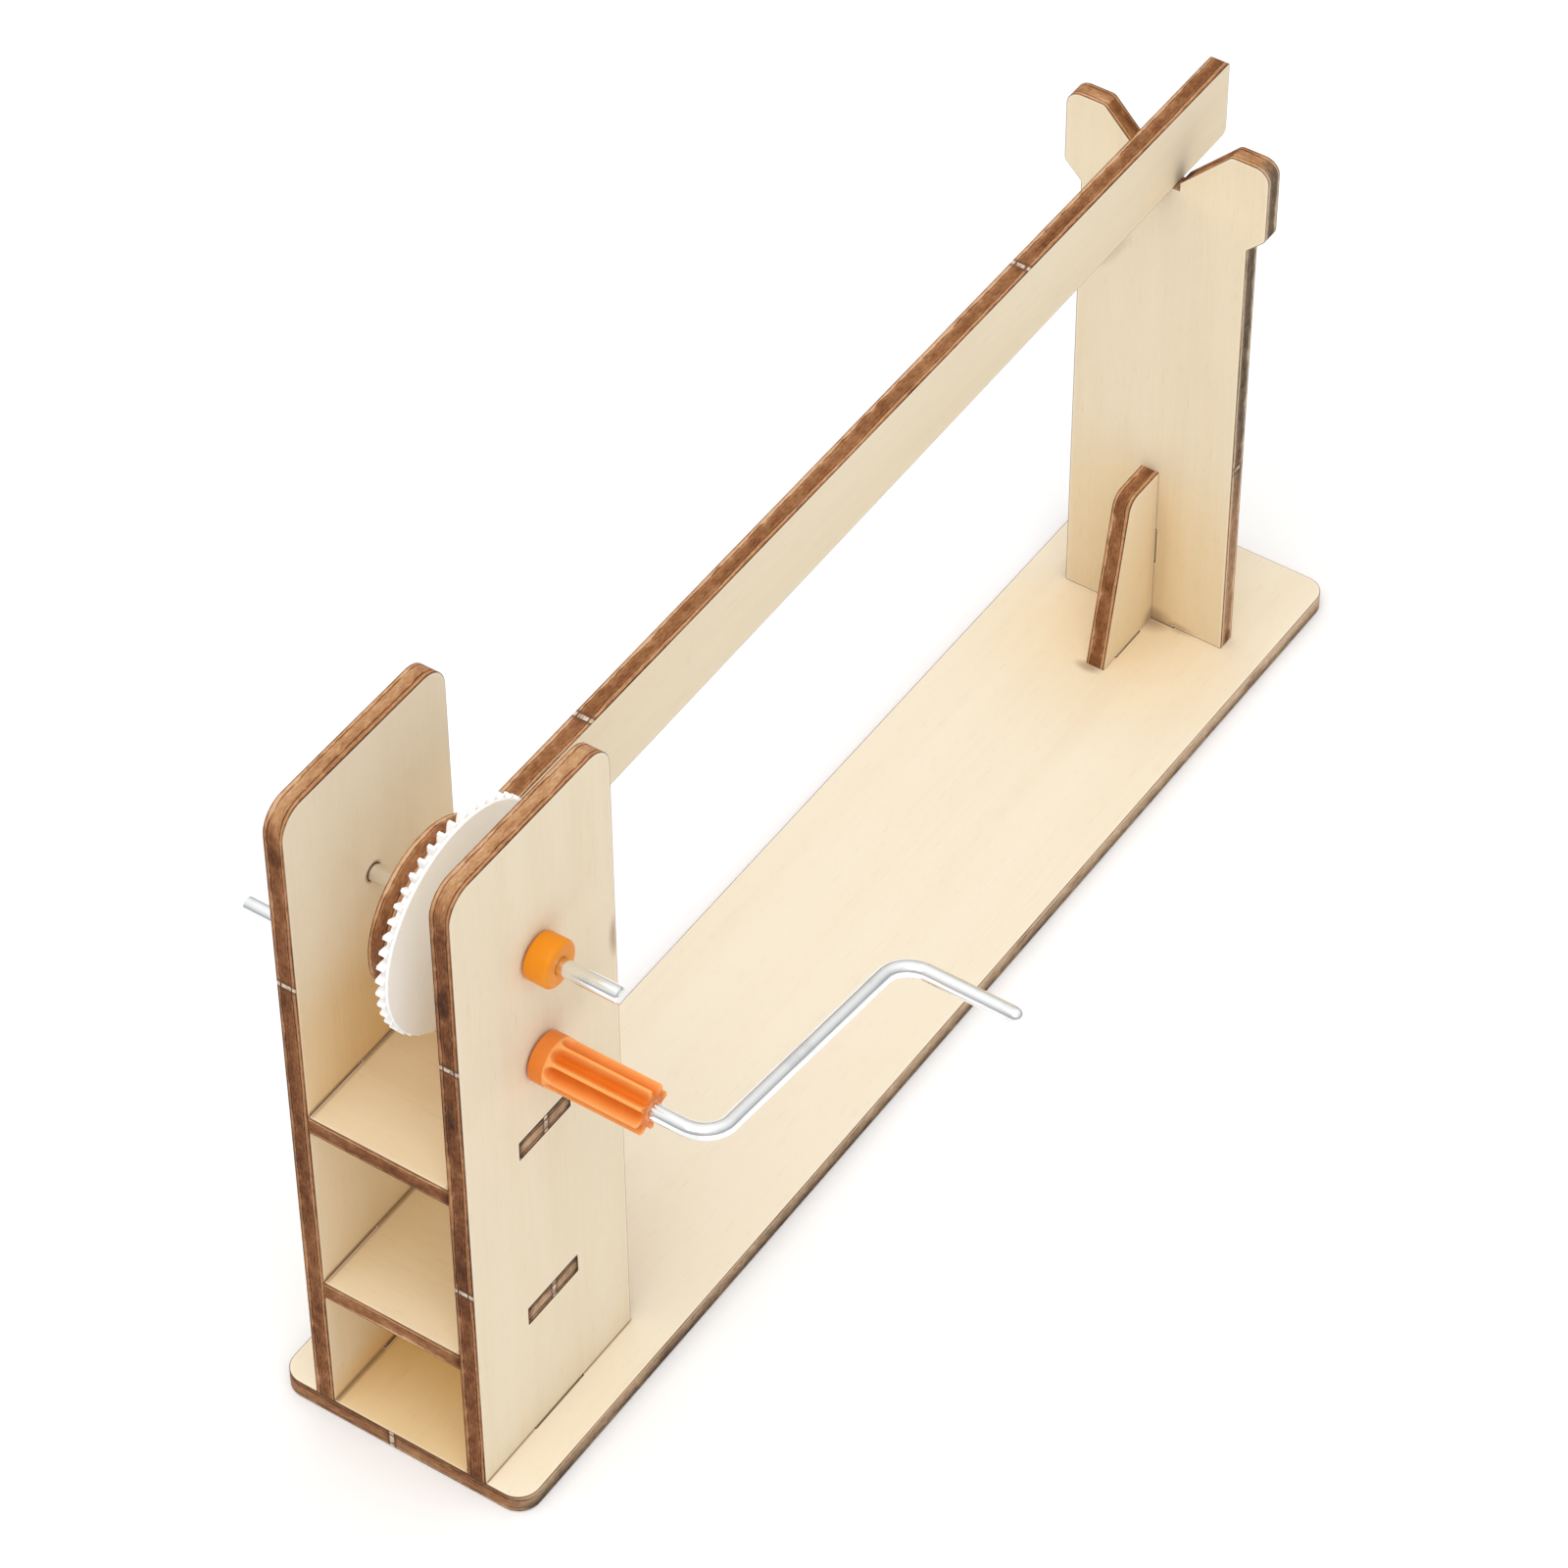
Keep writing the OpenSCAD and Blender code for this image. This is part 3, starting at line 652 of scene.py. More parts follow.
# %% The profile of the wall
def wall_profile(thick, rim, halo, quarter=4, rises=4):
    """Insets, heights and marks of the cut wall's profile. A quarter circle of radius rim is
    inset rim(1 - sin t) at height rim(1 - cos t)."""
    t = np.linspace(0, np.pi / 2, quarter)
    inset, height = rim * (1 - np.sin(t)), rim * (1 - np.cos(t))
    middle = np.linspace(rim, thick - rim, rises)[1:-1]
    insets = np.concatenate([[halo], inset, 0 * middle, inset[::-1], [halo]])
    heights = np.concatenate([[0], height, middle, thick - height[::-1], [thick]])
    wall = np.concatenate([[0], np.sin(t), 0 * middle + 1, np.sin(t)[::-1], [0]])
    # This mark gives a smoke stain at the rim and a painted rim highlight just inside it.
    rim_smoke_and_highlight = np.concatenate([[0], 0 * t + 1, 0 * middle + 1, 0 * t + 1, [0]])
    return insets, heights, wall, rim_smoke_and_highlight


print("a plate's wall is a profile of", len(wall_profile(PLY, 0.06, 0.4)[0]), "points")

# %% A plate
FLAT = np.array([[1, 0, 0], [0, 1, 0], [0, 0, 1]], float)    # drawn in X and Y, thick along Z
SIDE = np.array([[0, 1, 0], [0, 0, 1], [1, 0, 0]], float)    # drawn in Y and Z, thick along X
FRONT = np.array([[1, 0, 0], [0, 0, 1], [0, -1, 0]], float)  # drawn in X and Z, thick along -Y


def cut_plate(cuts, thick, axes, start, along=0, burnt=None, seed=0, bits=10, step=0.5,
              rim=0.06, halo=0.4, nibs=(), painted_light=0.0):
    """A plate: cuts are (corners, radii), the outline first and then the holes, clockwise.
    axes and start place it, along says which drawn axis the grain follows, and seed picks
    another stretch of wood. burnt turns the wall's directions and places into how it is
    charred, as four numbers: burn, core, soot and lean, which adds burn towards the second
    face and takes it away towards the first. The last argument is painted light: it makes the
    faces paler, for the base's top that is lit from above and the left plate's shaded inner face."""
    insets, heights, wall, rim_smoke_and_highlight = wall_profile(thick, rim, halo)
    start = np.array(start, float)
    points, faces, corners, low, high, total = [], [], [], [], [], 0
    marks = {"wall": [], "rim_smoke_and_highlight": [], "nib": [], "painted_light": [], "char": []}
    for outline, radii in cuts:
        rings, out, away = carried(outline, radii, insets, bits, step, nibs)
        rows, columns = rings.shape[:2]
        level = np.broadcast_to(heights[:, None, None], (rows, columns, 1))
        places = np.concatenate([rings, level], 2)
        lengths = np.linalg.norm(np.roll(rings[rows // 2], -1, 0) - rings[rows // 2], axis=1)
        run = np.concatenate([[0], np.cumsum(lengths)]) * MM + 0.37 * seed
        table, uv = grid(run, heights / thick)
        points.append(places.reshape(-1, 3))
        faces.append(table + total)
        corners.append(uv)
        low.append(total + np.arange(columns))
        high.append(total + (rows - 1) * columns + np.arange(columns))
        facing = np.concatenate([out, np.zeros((columns, 1))], 1) @ axes
        spots = start + places[rows // 2] @ axes
        look = burnt(facing, spots) if burnt else np.zeros((columns, 4))
        hard = np.repeat(look[None, :, :3], rows, axis=0)
        hard[:, :, 0] += look[:, 3] * (heights[:, None] / thick - 0.5)
        marks["char"].append(hard.reshape(-1, 3))
        for label, values in (("wall", wall[:, None]), ("rim_smoke_and_highlight", rim_smoke_and_highlight[:, None]),
                              ("nib", away[None]), ("painted_light", np.array([[painted_light]]))):
            marks[label].append(np.broadcast_to(values, (rows, columns)).reshape(-1))
        total += rows * columns
    points = np.concatenate(points)
    for rims, up in ((high, 1), (low, -1)):
        order = np.concatenate(rims)
        loops = [[Vector(p) for p in points[r].tolist()] for r in rims]
        cap = order[np.array(tessellate_polygon(loops))]
        p = points[cap][:, :, :2]
        area = np.cross(p[:, 1] - p[:, 0], p[:, 2] - p[:, 0])
        faces.append(np.where((area * up > 0)[:, None], cap, cap[:, ::-1]))
        corners.append(np.zeros((len(cap), 3, 2)))
    grain = points[:, [along, 1 - along, 2]] * MM + np.array([0.31, 0.17, 0.05]) * seed
    marks = {label: np.concatenate(values) for label, values in marks.items()}
    return shape(start + points @ axes, faces, corners, grain=grain, **marks)

# %% Outlines of plates and holes
SMALL_R = 0.1                       # radius of the sharpest corner that the beam cuts
ROD_R, HOLE_R = 1.0, 1.06           # and of a rod and the hole that it turns in


def box(x0, y0, x1, y1, hole=False):
    """Corners of a rectangle: anticlockwise round a plate, clockwise round a hole."""
    ring = [(x0, y0), (x1, y0), (x1, y1), (x0, y1)]
    return ring[::-1] if hole else ring


def slot(x, y, length, width, gap=0.1):
    """A slot centred at x, y for a tab of this size, with a gap all round."""
    half_x, half_y = length / 2 + gap, width / 2 + gap
    return box(x - half_x, y - half_y, x + half_x, y + half_y, True), SMALL_R


def bore(x, y, r):
    """A round hole, which is a square hole whose four corners are arcs of its full radius."""
    return box(x - r, y - r, x + r, y + r, True), r


print("the slot of a shelf's tab:", slot(0, 0, TAB, PLY)[0])

# %% [markdown]
# ## The base and the tower
#
# The base, the two side plates and the shelves are held by tabs that pass through slots, with
# 0.1 mm of air round them. The gap shows as a thin dark line round each tab, as it does on the
# real kit. The line could be painted on, but a true gap looks right from every side.
#
# No two walls are charred alike. Those that face up are painted paler and golden: a painted
# highlight for the light that falls on them from above. Those that face the front are the
# darkest red brown, and those that face right carry a grey film of soot. Four numbers
# describe a wall: how burnt it is, how much darker its middle ply is than the outer ones,
# how much soot lies on it, and how much darker it is towards one face. The function scorch
# turns a wall's direction into these numbers.

# %% How the base is charred
FRONT_Y, BACK_Y, TOP_Z = -87.5, -59.5, 96.5     # the tower's ends and its top
BASE_X, BASE_R = 17.0, 2.8                      # half the base's width, and its corners' radius
POST_MID, BRACE_MID, BRACE_TAB = 71.45, 64.45, 5.5      # middles of their tabs, a brace tab's length
TAB_Y0, TAB_Y1 = TOWER_Y - TAB / 2, TOWER_Y + TAB / 2


def part(value, low, high):
    """0 up to low, 1 from high on and a straight line between them."""
    return np.clip((value - low) / (high - low), 0, 1)


def blend(first, second, share):
    """first where share is 0, second where it is 1, and a mixture between them."""
    return np.array(first) + (np.array(second) - first) * share


def scorch(plain, up=None):
    """Burn, core, soot and lean for each direction: those given as plain, blended towards up
    for walls that face up, by the cosine of the angle. The up values are a painted highlight:
    less burn, so paler char, where light falls from above."""
    return lambda facing, spots: blend(plain, up or plain, part(facing[:, 2:], 0, 1))


def base_char(facing, spots):
    """The front is darkest under its upper face. The right edge is pale there and sooty below,
    and towards the post most of it is pale."""
    right = blend((0.43, 0.10, 0.65, -0.75), (0.16, 0.10, 0.65, -0.85), part(spots[:, 1:2], -30, 50))
    return blend((0.46, 0.05, 0.1, 0.30), right, part(facing[:, :1], 0, 1))

# %% The base plate
# The base is painted paler, as painted light from above.
base = cut_plate(
    [(box(-BASE_X, FRONT_Y, BASE_X, -FRONT_Y), BASE_R), slot(-GAP - PLY / 2, TOWER_Y, PLY, TAB),
     slot(GAP + PLY / 2, TOWER_Y, PLY, TAB), slot(0, POST_MID, TAB, PLY),
     slot(0, BRACE_MID, PLY, BRACE_TAB)],
    PLY, FLAT, (0, 0, 0), along=1, seed=1, nibs=[(-1.3, FRONT_Y), (-BASE_X, -15), (3, -FRONT_Y)],
    burnt=base_char, painted_light=0.18)
piece("base_board", base, plywood, "stand", "base_plate")

# %% The side plates
tower = [(FRONT_Y, PLY), (TAB_Y0, PLY), (TAB_Y0, 0), (TAB_Y1, 0), (TAB_Y1, PLY), (BACK_Y, PLY),
         (BACK_Y, TOP_Z), (FRONT_Y, TOP_Z)]
tower_cuts = [(tower, [SMALL_R] * 6 + [3.5, 3.5]),
              slot(TOWER_Y, LOWER_Z + PLY / 2, TAB, PLY), slot(TOWER_Y, UPPER_Z + PLY / 2, TAB, PLY),
              bore(TOWER_Y, AXLE_Z, HOLE_R), bore(TOWER_Y, CRANK_Z, HOLE_R)]
# The last number of each row is painted light: the left plate is painted paler against its shade.
for name, x, nibs, seed, burn, lean, painted_light in (
        ("left_side", -OUTER, [(FRONT_Y, 70.9), (BACK_Y, 40)], 2, 0.54, -0.10, 0.2),
        ("right_side", GAP, [(FRONT_Y, 70.8), (FRONT_Y, 34.7), (BACK_Y, 52)], 3, 0.58, -0.06, 0.0)):
    made = cut_plate(tower_cuts, PLY, SIDE, (x, 0, 0), along=1, seed=seed, nibs=nibs, painted_light=painted_light,
                     burnt=scorch((burn, 0.34, 0.0, lean), up=(0.21, 0.05, 0.0, 0.20)))
    piece(name + "_board", made, plywood, "stand", name + "_plate")

# %% The shelves
edge = [(GAP, FRONT_Y), (GAP, TAB_Y0), (OUTER, TAB_Y0), (OUTER, TAB_Y1), (GAP, TAB_Y1), (GAP, BACK_Y)]
shelf = [(-GAP, FRONT_Y)] + edge + [(-x, y) for x, y in edge[:0:-1]]


def shelf_char(burn, lean):
    """A shelf's walls: sooty tab ends with dark outlines, and a dark end where the front meets
    the right plate."""
    def look(facing, spots):
        x, y = spots[:, :1], spots[:, 1:2]
        corner = part(x, 8.3, 8.9) * (y < FRONT_Y + 0.5)
        front = blend((burn, 0.32, 0.0, lean), (burn + 0.30, 0.32, 0.0, lean), corner)
        outline = part(np.abs(y - TOWER_Y), 3.7, 4.3)
        tab = blend((0.42, -0.25, 0.45, 0.0), (0.82, -0.25, 0.45, 0.0), outline)
        return blend(front, tab, part(facing[:, :1], 0, 1) * (x > GAP + PLY / 2))

    return look


for name, z, seed, burn, lean in (("lower_shelf", LOWER_Z, 4, 0.37, 0.08),
                                  ("upper_shelf", UPPER_Z, 5, 0.46, -0.20)):
    made = cut_plate([(shelf, SMALL_R)], PLY, FLAT, (0, 0, z), along=0, seed=seed,
                     nibs=[(OUTER, -73.3), (-OUTER, -73.3)], burnt=shelf_char(burn, lean))
    piece(name + "_board", made, plywood, "stand", name)

# %% [markdown]
# ## The forked post and its brace
#
# The post catches the arm in a narrow slot under a wide V. Its outline is drawn for the right
# half only, from the tab up to the bottom of the slot, and mirrored for the left half. A Mirror
# modifier could do that too, but the burnt wall has to run round both halves as one cut. The
# brace props the post on the tower's side, with one tab in the base and one in the post.

# %% The forked post
FAR, LOW, HIGH = 82.0, (71.2, 73.65), (83.3, 84.25)     # the arm's end, and its edges' heights
POST_Y = 70.2                                           # the post's face towards the tower
FORK_Z = LOW[0] + (LOW[1] - LOW[0]) * (POST_Y - TOWER_Y) / (FAR - TOWER_Y) - 0.25
VEE_Z = FORK_Z + 1.2
POST_TOP = VEE_Z + 7
half = [(TAB / 2, 0), (TAB / 2, PLY), (11.5, PLY), (11.5, POST_TOP - 13), (13.9, POST_TOP - 10.6),
        (13.9, POST_TOP), (8.7, POST_TOP), (2, VEE_Z), (2, FORK_Z)]
bends = [SMALL_R] * 4 + [1, 2, 1] + [SMALL_R] * 2


def post_char(facing, spots):
    """The V is dark red brown, and its slot darker still. The outer right edge is sooty above
    and only tanned at its foot."""
    x, z = spots[:, :1], spots[:, 2:]
    look = scorch((0.60, 0.2, 0.1, -0.1), up=(0.28, 0.10, 0.0, -0.30))(facing, spots)
    vee = blend((0.46, 0.35, 0.0, -0.25), (0.91, 0.35, 0.0, -0.25), part(-np.abs(x), -3.6, -2.4))
    look = blend(look, vee, (np.abs(x) < 8.5) & (z > FORK_Z))
    edge = blend((0.20, 0.45, 0.30, -0.10), (0.50, 0.65, 0.80, -0.10), part(z, 24, 40))
    return blend(look, edge, part(facing[:, :1], 0, 1) * (x > 11))


whole = half + [(-x, z) for x, z in half[::-1]]
post = cut_plate([(whole, bends + bends[::-1]), slot(0, 15, PLY, BRACE_TAB)], PLY, FRONT,
                 (0, POST_Y + PLY, 0), along=1, seed=6, nibs=[(11.5, 32.5), (-11.5, 50)],
                 burnt=post_char)
piece("fork_post", post, plywood, "stand", "rest_post")

# %% The brace
brace_line = [(58.7, PLY), (61.7, PLY), (61.7, 0), (67.2, 0), (67.2, PLY), (POST_Y, PLY),
              (POST_Y, 12.25), (POST_Y + PLY, 12.25), (POST_Y + PLY, 17.75), (POST_Y, 17.75),
              (POST_Y, 27.5), (63.7, 27.5)]
brace = cut_plate([(brace_line, [SMALL_R] * 11 + [2])], PLY, SIDE, (-PLY / 2, 0, 0), along=1, seed=7,
                  burnt=scorch((0.40, 0.40, 0.0, 0.0), up=(0.34, 0.42, 0.0, 0.0)))
piece("brace_board", brace, plywood, "stand", "post_brace")

# %% [markdown]
# ## The gate arm
#
# The arm is a long bar that ends in a round head. The head's arc is drawn as four corners that
# lie outside the circle, each rounded to the circle's own radius: a corner that spans an angle
# s lies at radius / cos(s / 2) from the centre, and its arc touches both of its sides exactly.
# The circle could be typed in as many short edges, but this way head and bar are one outline,
# and the same code insets both.

# %% Where the edges meet the head
HEAD, HEAD_R, CUT = np.array([-75.0, 78.4]), 10.0, 0.5
under = (LOW[0], (LOW[1] - LOW[0]) / (FAR - CUT - TOWER_Y))       # height at the axle, and slope
over = (HIGH[0], (HIGH[1] - HIGH[0]) / (FAR - TOWER_Y))


def crosses(line):
    """Angle from the head's centre, right of it, at which its circle meets a line: for a line
    at angle b and distance h above the centre it is b + arcsin(h / radius)."""
    b = np.arctan(line[1])
    return b + np.arcsin((line[0] + line[1] * (HEAD[0] - TOWER_Y) - HEAD[1]) * np.cos(b) / HEAD_R)


def meets(angle, line):
    """Where the tangent of the head at this angle crosses the line."""
    p = HEAD + HEAD_R * np.array([np.cos(angle), np.sin(angle)])
    t = (line[0] + line[1] * (p[0] - TOWER_Y) - p[1]) / (np.cos(angle) + line[1] * np.sin(angle))
    return p[0] - t * np.sin(angle), p[1] + t * np.cos(angle)


print("the edges meet the head at", np.degrees([crosses(over), crosses(under)]).round(1), "degrees")

# %% The arm
SPARE, COUNT = 0.04, 4              # angle left for the arc's ends, and the number of its corners
start, end = crosses(over) + SPARE, 2 * np.pi + crosses(under) - SPARE
span = (end - start) / COUNT
middles = start + span * (np.arange(COUNT) + 0.5)
head = HEAD + HEAD_R / np.cos(span / 2) * np.stack([np.cos(middles), np.sin(middles)], 1)
arm_line = [meets(end, under), (FAR - CUT, LOW[1]), (FAR, LOW[1] + CUT), (FAR, HIGH[1]),
            meets(start, over), *head.tolist()]
arm_bends = [SMALL_R, 0.4, 0.4, 0.4, SMALL_R] + [HEAD_R] * COUNT
arm = cut_plate([(arm_line, arm_bends), bore(TOWER_Y, AXLE_Z, ROD_R)], PLY, SIDE, (-PLY / 2, 0, 0),
                along=0, seed=8, nibs=[(38.0, 83.98), (-48.1, 83.46), (0, 72.4)],
                burnt=scorch((0.50, 0.40, 0.0, 0.2), up=(0.35, 0.42, 0.0, 0.22)))
piece("arm_board", arm, plywood, "gate", "gate_arm")

# %% [markdown]
# ## The gears
#
# A gear tooth's flank is an involute, the curve that the end of a taut string draws as it
# unwinds from the base circle. Its polar form needs one function: at radius r the string makes
# the angle a with the radius, where cos a = base radius / r, and the flank has turned by
# tan a - a. The tooth's half width at r is its half width at the pitch circle, plus the
# involute of the pressure angle, less the involute of a.
#
# The same function gives both gears, so that they mesh: 48 teeth of module 0.56 mm on the gate,
# 8 on the crank. The large gear carries a thin disc on its outer side that closes the gaps
# between the teeth, and a hub. Plain wedges would pass for teeth in a small picture, but where
# two gears meet they would cut into each other.

# %% The outline of a gear
MODULE, PRESSURE = 0.56, np.radians(20)
GEAR_X, GEAR_W, PINION_W = PLY / 2, 1.0, 5.0       # the gear's near face, and the teeth's widths
AIR = 0.2                                          # room beside a piece that turns


def gear_line(teeth, shift, root, tip, turn=0.0, play=0.08, flats=5):
    """Outline of a gear, anticlockwise: each tooth runs up one involute and down the other."""
    pitch = MODULE * teeth / 2
    base_r = pitch * np.cos(PRESSURE)
    r = np.concatenate([[root], np.linspace(max(root, base_r), tip, flats)])
    a = np.arccos(np.minimum(1, base_r / np.maximum(r, base_r)))
    thick = MODULE * (np.pi / 2 + 2 * shift * np.tan(PRESSURE)) - play
    width = thick / (2 * pitch) + (np.tan(PRESSURE) - PRESSURE) - (np.tan(a) - a)
    if root >= base_r:
        r, width = r[1:], width[1:]
    r, width = np.concatenate([r, r[::-1]]), np.concatenate([-width, width[::-1]])
    angle = turn + 2 * np.pi * np.arange(teeth)[:, None] / teeth + width
    return np.stack([r * np.cos(angle), r * np.sin(angle)], 2).reshape(-1, 2)


print("gear and pinion lie", round(MODULE * (48 + 8) / 2, 2), "mm apart, as axle and shaft do")

# %% Turned shapes
def turned(x, r, axis_z, stand, order=1):
    """A closed profile that turns about the shaft. x and r have a row for each of its points; r
    may have a column for each angle. order is -1 where the profile runs anticlockwise."""
    angle = 2 * np.pi * np.arange(r.shape[1]) / r.shape[1]
    points = np.stack([x + 0 * r, TOWER_Y + r * np.cos(angle), axis_z + r * np.sin(angle)], 2)
    table, uv = grid(np.linspace(0, 1, r.shape[1] + 1), np.linspace(0, 1, len(r)), loop=True)
    return shape(points.reshape(-1, 3), [table[:, ::order]], [uv[:, ::order]],
                 stand=(stand + 0 * r).reshape(-1))


def sleeve(x, corners, radii, axis_z, stand, sides, bits=4):
    """An anticlockwise profile of (place along the shaft, radius), rounded and then turned."""
    profile = carried(corners, radii, [0.0], bits, 50, ())[0][0]
    return turned(x + profile[:, :1], profile[:, 1:] + np.zeros(sides), axis_z, stand, -1)


def plain(made, stand):
    """A cut shape with only the mark that moulded plastic reads."""
    return {**made, "marks": {"stand": np.full(len(made["points"]), stand)}}

# %% The gear and the pinion
gear_outline = gear_line(48, shift=-0.5, root=12.46, tip=13.72)
teeth = cut_plate([(gear_outline, 0), bore(0, 0, ROD_R)], GEAR_W, SIDE,
                  (GEAR_X, TOWER_Y, AXLE_Z), step=3, rim=0.05, halo=0.06)
disc = sleeve(GEAR_X, [(1, 1), (4.4, 1), (4.4, 3), (1.4, 3), (1.4, 13.42), (1, 13.42)],
              [0.1, 0.1, 0.25, 0.4, 0.08, 0.1], AXLE_Z, 0.0, sides=144)
# The teeth get more painted crest light than the disc, so they look paler.
piece("large_gear", joined(plain(teeth, 0.6), disc), white_plastic, "gate",
      "lift_gear")

pinion_line = gear_line(8, shift=0.5, root=1.82, tip=2.968, turn=np.radians(112.5))
pinion = cut_plate([(pinion_line, 0), bore(0, 0, ROD_R)], PINION_W, SIDE,
                   (GEAR_X + GEAR_W - AIR - PINION_W, TOWER_Y, CRANK_Z), step=3, rim=0.12, halo=0.14)
piece("small_pinion", plain(pinion, 0.3), grip_plastic, "crank", "drive_pinion")

# %% [markdown]
# ## Bushes and the ribbed grip
#
# The two bushes are short sleeves with soft rims, pressed on the axle so that it can't slide
# out of the tower. The grip is a longer sleeve. Eight grooves are cut into it by a round-nosed
# tool that stops short of one end, which leaves a plain collar there and a rounded start to
# every groove.
#
# That gives the grip's radius a simple rule. Unroll the sleeve flat: each groove is a straight
# line that starts at x0. The distance d to that line is the sideways distance beyond x0, and
# the distance to its starting point before x0. Where d is less than the half width h of the
# groove, the surface sinks by depth * (1 - (d / h) ** 2.6) ** 0.8, a U with a round bottom.
# Eight cutters and a Boolean modifier could do it too, but they leave long thin faces that
# shade badly.

# %% The bushes
BUSH, GRIP, COLLAR = 3.0, 14.0, 3.0            # lengths of a bush, the grip and its plain part
RADIUS, CREST = 3.0, 2.95                      # the grip's radius on the collar and on a rib
DEPTH, HALF, EDGE = 1.12, 0.98, 0.25           # a groove's depth and half width; the rims' radius

for name, x in (("right", OUTER + AIR), ("left", -OUTER - AIR - BUSH)):
    made = sleeve(x, [(0, 1), (BUSH, 1), (BUSH, 2.85), (0, 2.85)], [0.12, 0.2, 0.55, 0.3], AXLE_Z,
                  0.35, sides=72, bits=6)
    piece("axle_sleeve_" + name, made, bush_plastic, "gate", "axle_bush_" + name)

# %% The grip
def grip(start_x, sides=192, rows=90):
    """The ribbed grip as one closed skin: outside, end face, bore and front face."""
    angle = 2 * np.pi * np.arange(sides) / sides
    x = np.linspace(0, GRIP, rows)[:, None]
    sideways = (np.mod(angle, np.pi / 4) - np.pi / 8) * CREST
    away = np.hypot(sideways, np.minimum(0, x - COLLAR))
    sink = np.clip(1 - (away / HALF) ** 2.6, 0, 1) ** 0.8
    r = RADIUS - (RADIUS - CREST) * part(x, COLLAR - HALF, COLLAR) - DEPTH * sink
    r = r - EDGE * (1 - np.sqrt(1 - part(-np.minimum(x, GRIP - x), -EDGE, 0) ** 2))
    inner = np.array([0.75, 0.4, 0.0])[:, None]
    end_r = ROD_R + (r[-1] - ROD_R) * inner
    front_r = ROD_R + (r[0] - ROD_R) * inner[::-1]
    r = np.concatenate([r, end_r, front_r])
    # Painted highlight and shade: ribs' crests paler, grooves deeper, the plain collar darker still.
    painted_rib_light = part(r, CREST - DEPTH, CREST)
    painted_rib_light[:rows] = painted_rib_light[:rows] ** 1.2 - 0.75 * (x < COLLAR - HALF)
    x = np.concatenate([x, 0 * inner + GRIP, 0 * inner])
    return turned(start_x + x, r, CRANK_Z, 0.85 * painted_rib_light)


piece("ribbed_grip", grip(OUTER + AIR), grip_plastic, "crank", "crank_grip")

# %% [markdown]
# ## The steel rods
#
# A rod is a circle carried along a path. At each point of the path the circle lies in the plane
# square to the path's direction, spanned by a fixed side direction and its cross product with
# the path's direction. The crank lies flat in one plane, so that plane's normal serves as the
# side direction all the way, and the rod never twists.
#
# The axle was sheared, so its ends have a small bevel. The crank's handle end is rounded, so
# there the radius follows a quarter circle. A curve with a round bevel makes such a rod too,
# but its ends stay flat, and its UV map doesn't tell how far along the rod a point is.

# %% A circle along a path
def tube(path, radii, side, sides=40):
    """A rod with flat closed ends; side is a unit vector square to the whole path."""
    t = unit(np.gradient(path, axis=0))
    across = np.cross(side, t)
    angle = 2 * np.pi * np.arange(sides) / sides
    points = path[:, None] + radii[:, None, None] * (np.cos(angle)[None, :, None] * across[:, None]
                                                     + np.sin(angle)[None, :, None] * side)
    run = np.concatenate([[0], np.cumsum(np.linalg.norm(np.diff(path, axis=0), axis=1))]) * MM
    table, uv = grid(np.linspace(0, 1, sides + 1), run)
    last = np.arange(sides) + (len(path) - 1) * sides
    caps = np.stack([np.arange(sides)[::-1], last])
    return shape(points.reshape(-1, 3), [table, caps], [uv, np.zeros((2, sides, 2))])

# %% The axle
BEVEL = 0.2                         # width and depth of the bevel on a sheared end
left, right = OUTER + AIR + BUSH + 1.5, OUTER + AIR + BUSH + 7.6
x = np.array([-left, -left + BEVEL, *np.linspace(-left + 1, right - 1, 24), right - BEVEL, right])
path = np.stack([x, 0 * x + TOWER_Y, 0 * x + AXLE_Z], 1)
radii = np.full(len(x), ROD_R)
radii[[0, -1]] = ROD_R - BEVEL
piece("axle_rod", tube(path, radii, np.array([0, 1.0, 0])), steel, "gate", "gate_axle")

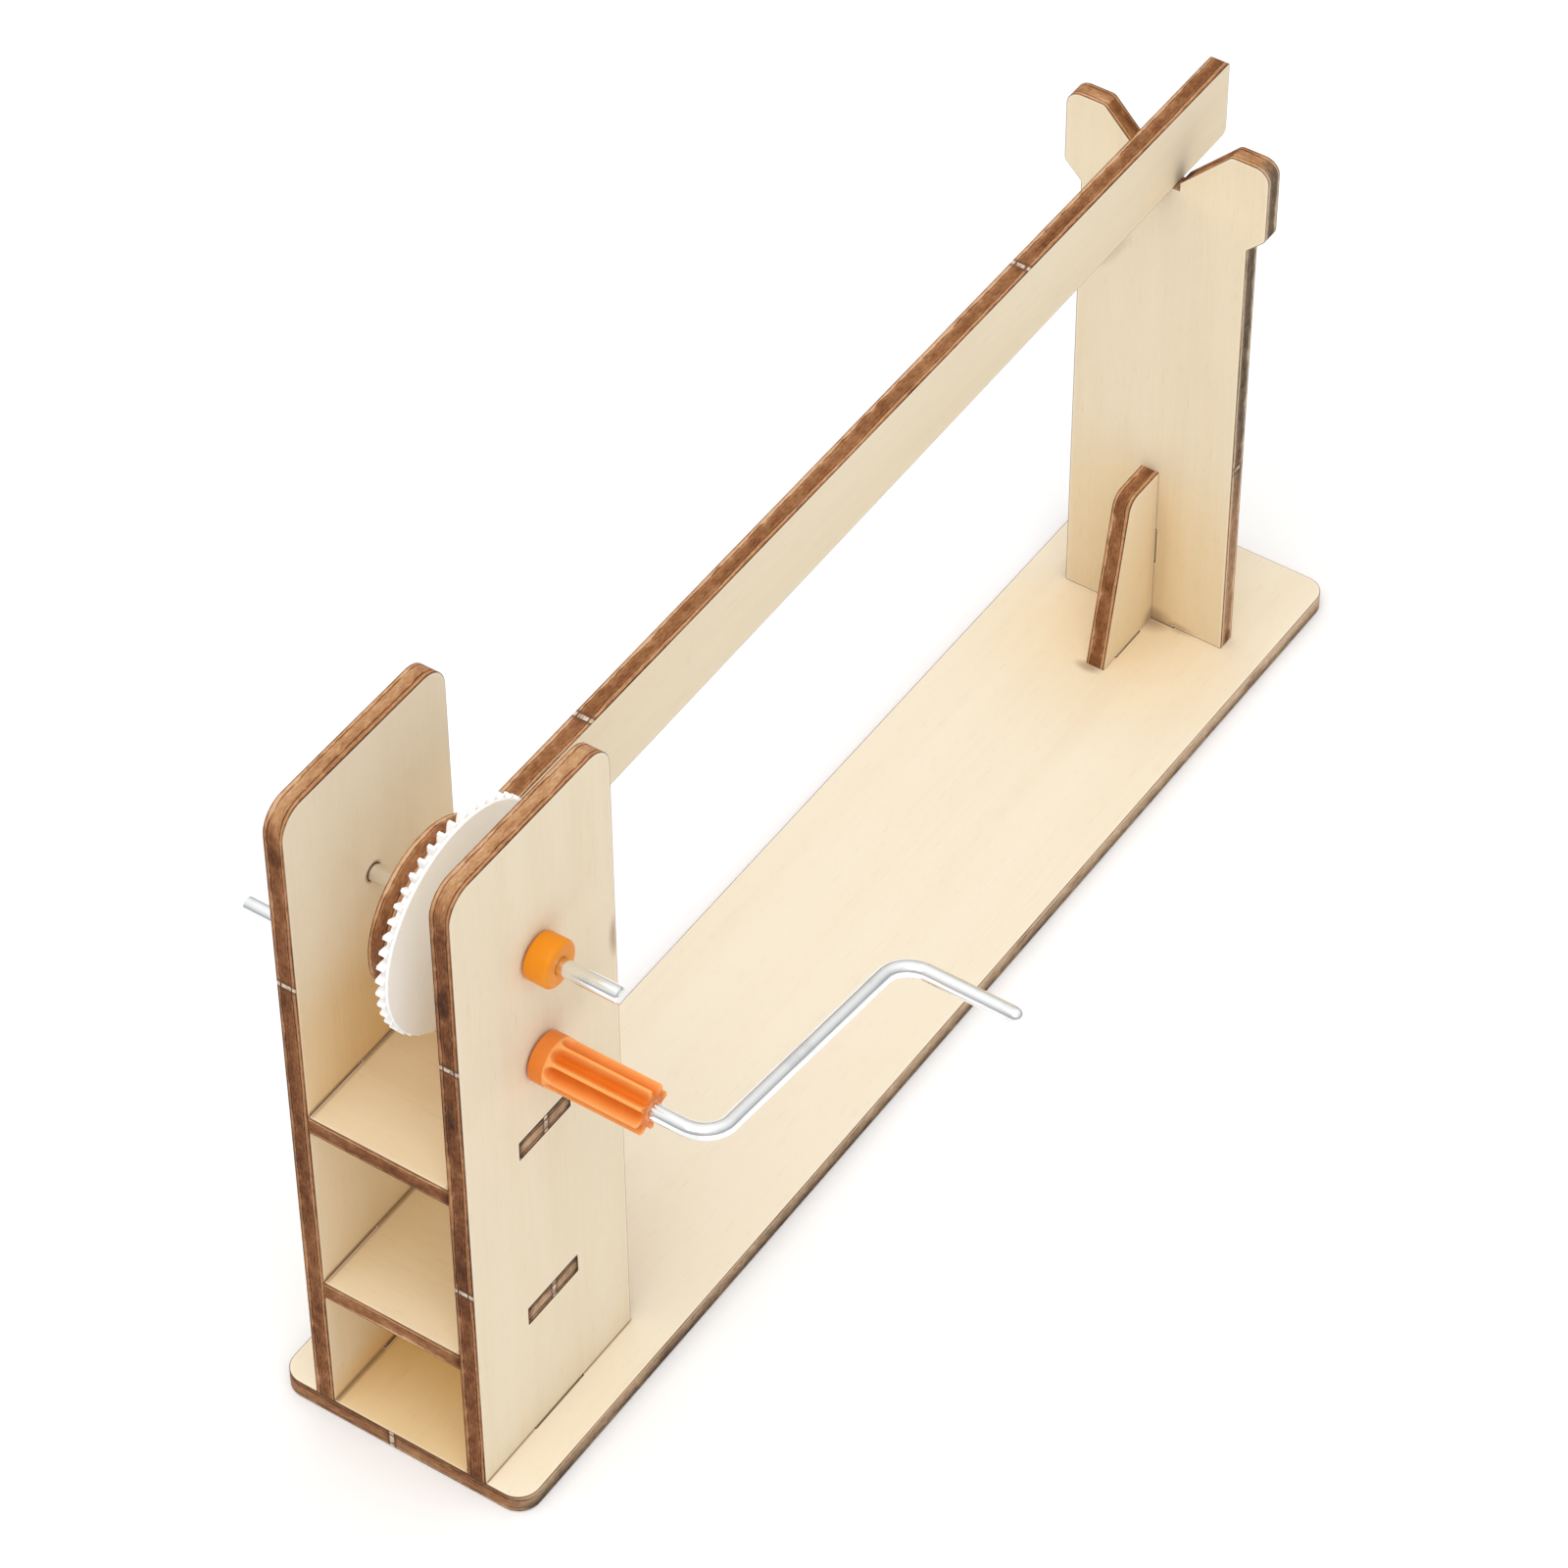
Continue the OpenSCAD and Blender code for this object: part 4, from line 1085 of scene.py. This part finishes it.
# %% The bent crank
BEND, THROW, HANDLE = 3.5, 36.2, 15.6          # radius of the bends, lengths of arm and handle
ARM_X = OUTER + AIR + GRIP + 7.5
droop = np.radians(7.7)
out, down = np.array([1.0, 0, 0]), np.array([0, np.cos(droop), -np.sin(droop)])


def at(x, y):
    """A place in the crank's plane: x along the shaft, y along the crank's arm."""
    return np.array([0, TOWER_Y, CRANK_Z]) + out * x + down * y


def line(a, b, count):
    return np.linspace(a, b, count, endpoint=False)


q = line(0, np.pi / 2, 16)[:, None]
first = at(ARM_X - BEND, BEND) + BEND * (np.sin(q) * out - np.cos(q) * down)
second = at(ARM_X + BEND, THROW - BEND) + BEND * (np.sin(q) * down - np.cos(q) * out)
stub, tip = at(-OUTER - 15.5, 0), at(ARM_X + HANDLE, THROW)
dome = np.sin(np.linspace(0, np.pi / 2 - 0.12, 9))
path = np.concatenate([
    [stub, stub + out * BEVEL], line(stub + out, at(ARM_X - BEND, 0), 40), first,
    line(at(ARM_X, BEND), at(ARM_X, THROW - BEND), 24), second,
    line(at(ARM_X + BEND, THROW), tip - out, 10), tip - out * (1 - dome[:, None])])
radii = np.full(len(path), ROD_R)
radii[0] = ROD_R - BEVEL
radii[-len(dome):] = np.sqrt(1 - dome ** 2)
piece("bent_crank", tube(path, radii, np.cross(out, down)), steel, "crank", "crank_rod")

# %% [markdown]
# ## The floor
#
# The floor is a plain pale sheet just under the base.

# %% The floor and the end
floor_mesh = bpy.data.meshes.new("floor")
REACH = 1.5                         # metres from the middle to the floor's edges
corners = [(-REACH, -REACH, 0), (REACH, -REACH, 0), (REACH, REACH, 0), (-REACH, REACH, 0)]
floor_mesh.from_pydata(corners, [], [(0, 1, 2, 3)])
floor = bpy.data.objects.new("floor", floor_mesh)
floor.location.z = -0.0002
paper, tree, shader = material("floor_paper", {"Specular IOR Level": 0.0, "Roughness": 0.9})
spread = cloud(put("TexCoord", tree=tree).outputs["Object"], (40, 40, 40))
fill(shader, {"Base Color": tint(spread, (0.985, 0.985, 0.985, 1), (1.0, 1.0, 1.0, 1))})
floor_mesh.materials.append(paper)
bpy.context.scene.collection.objects.link(floor)
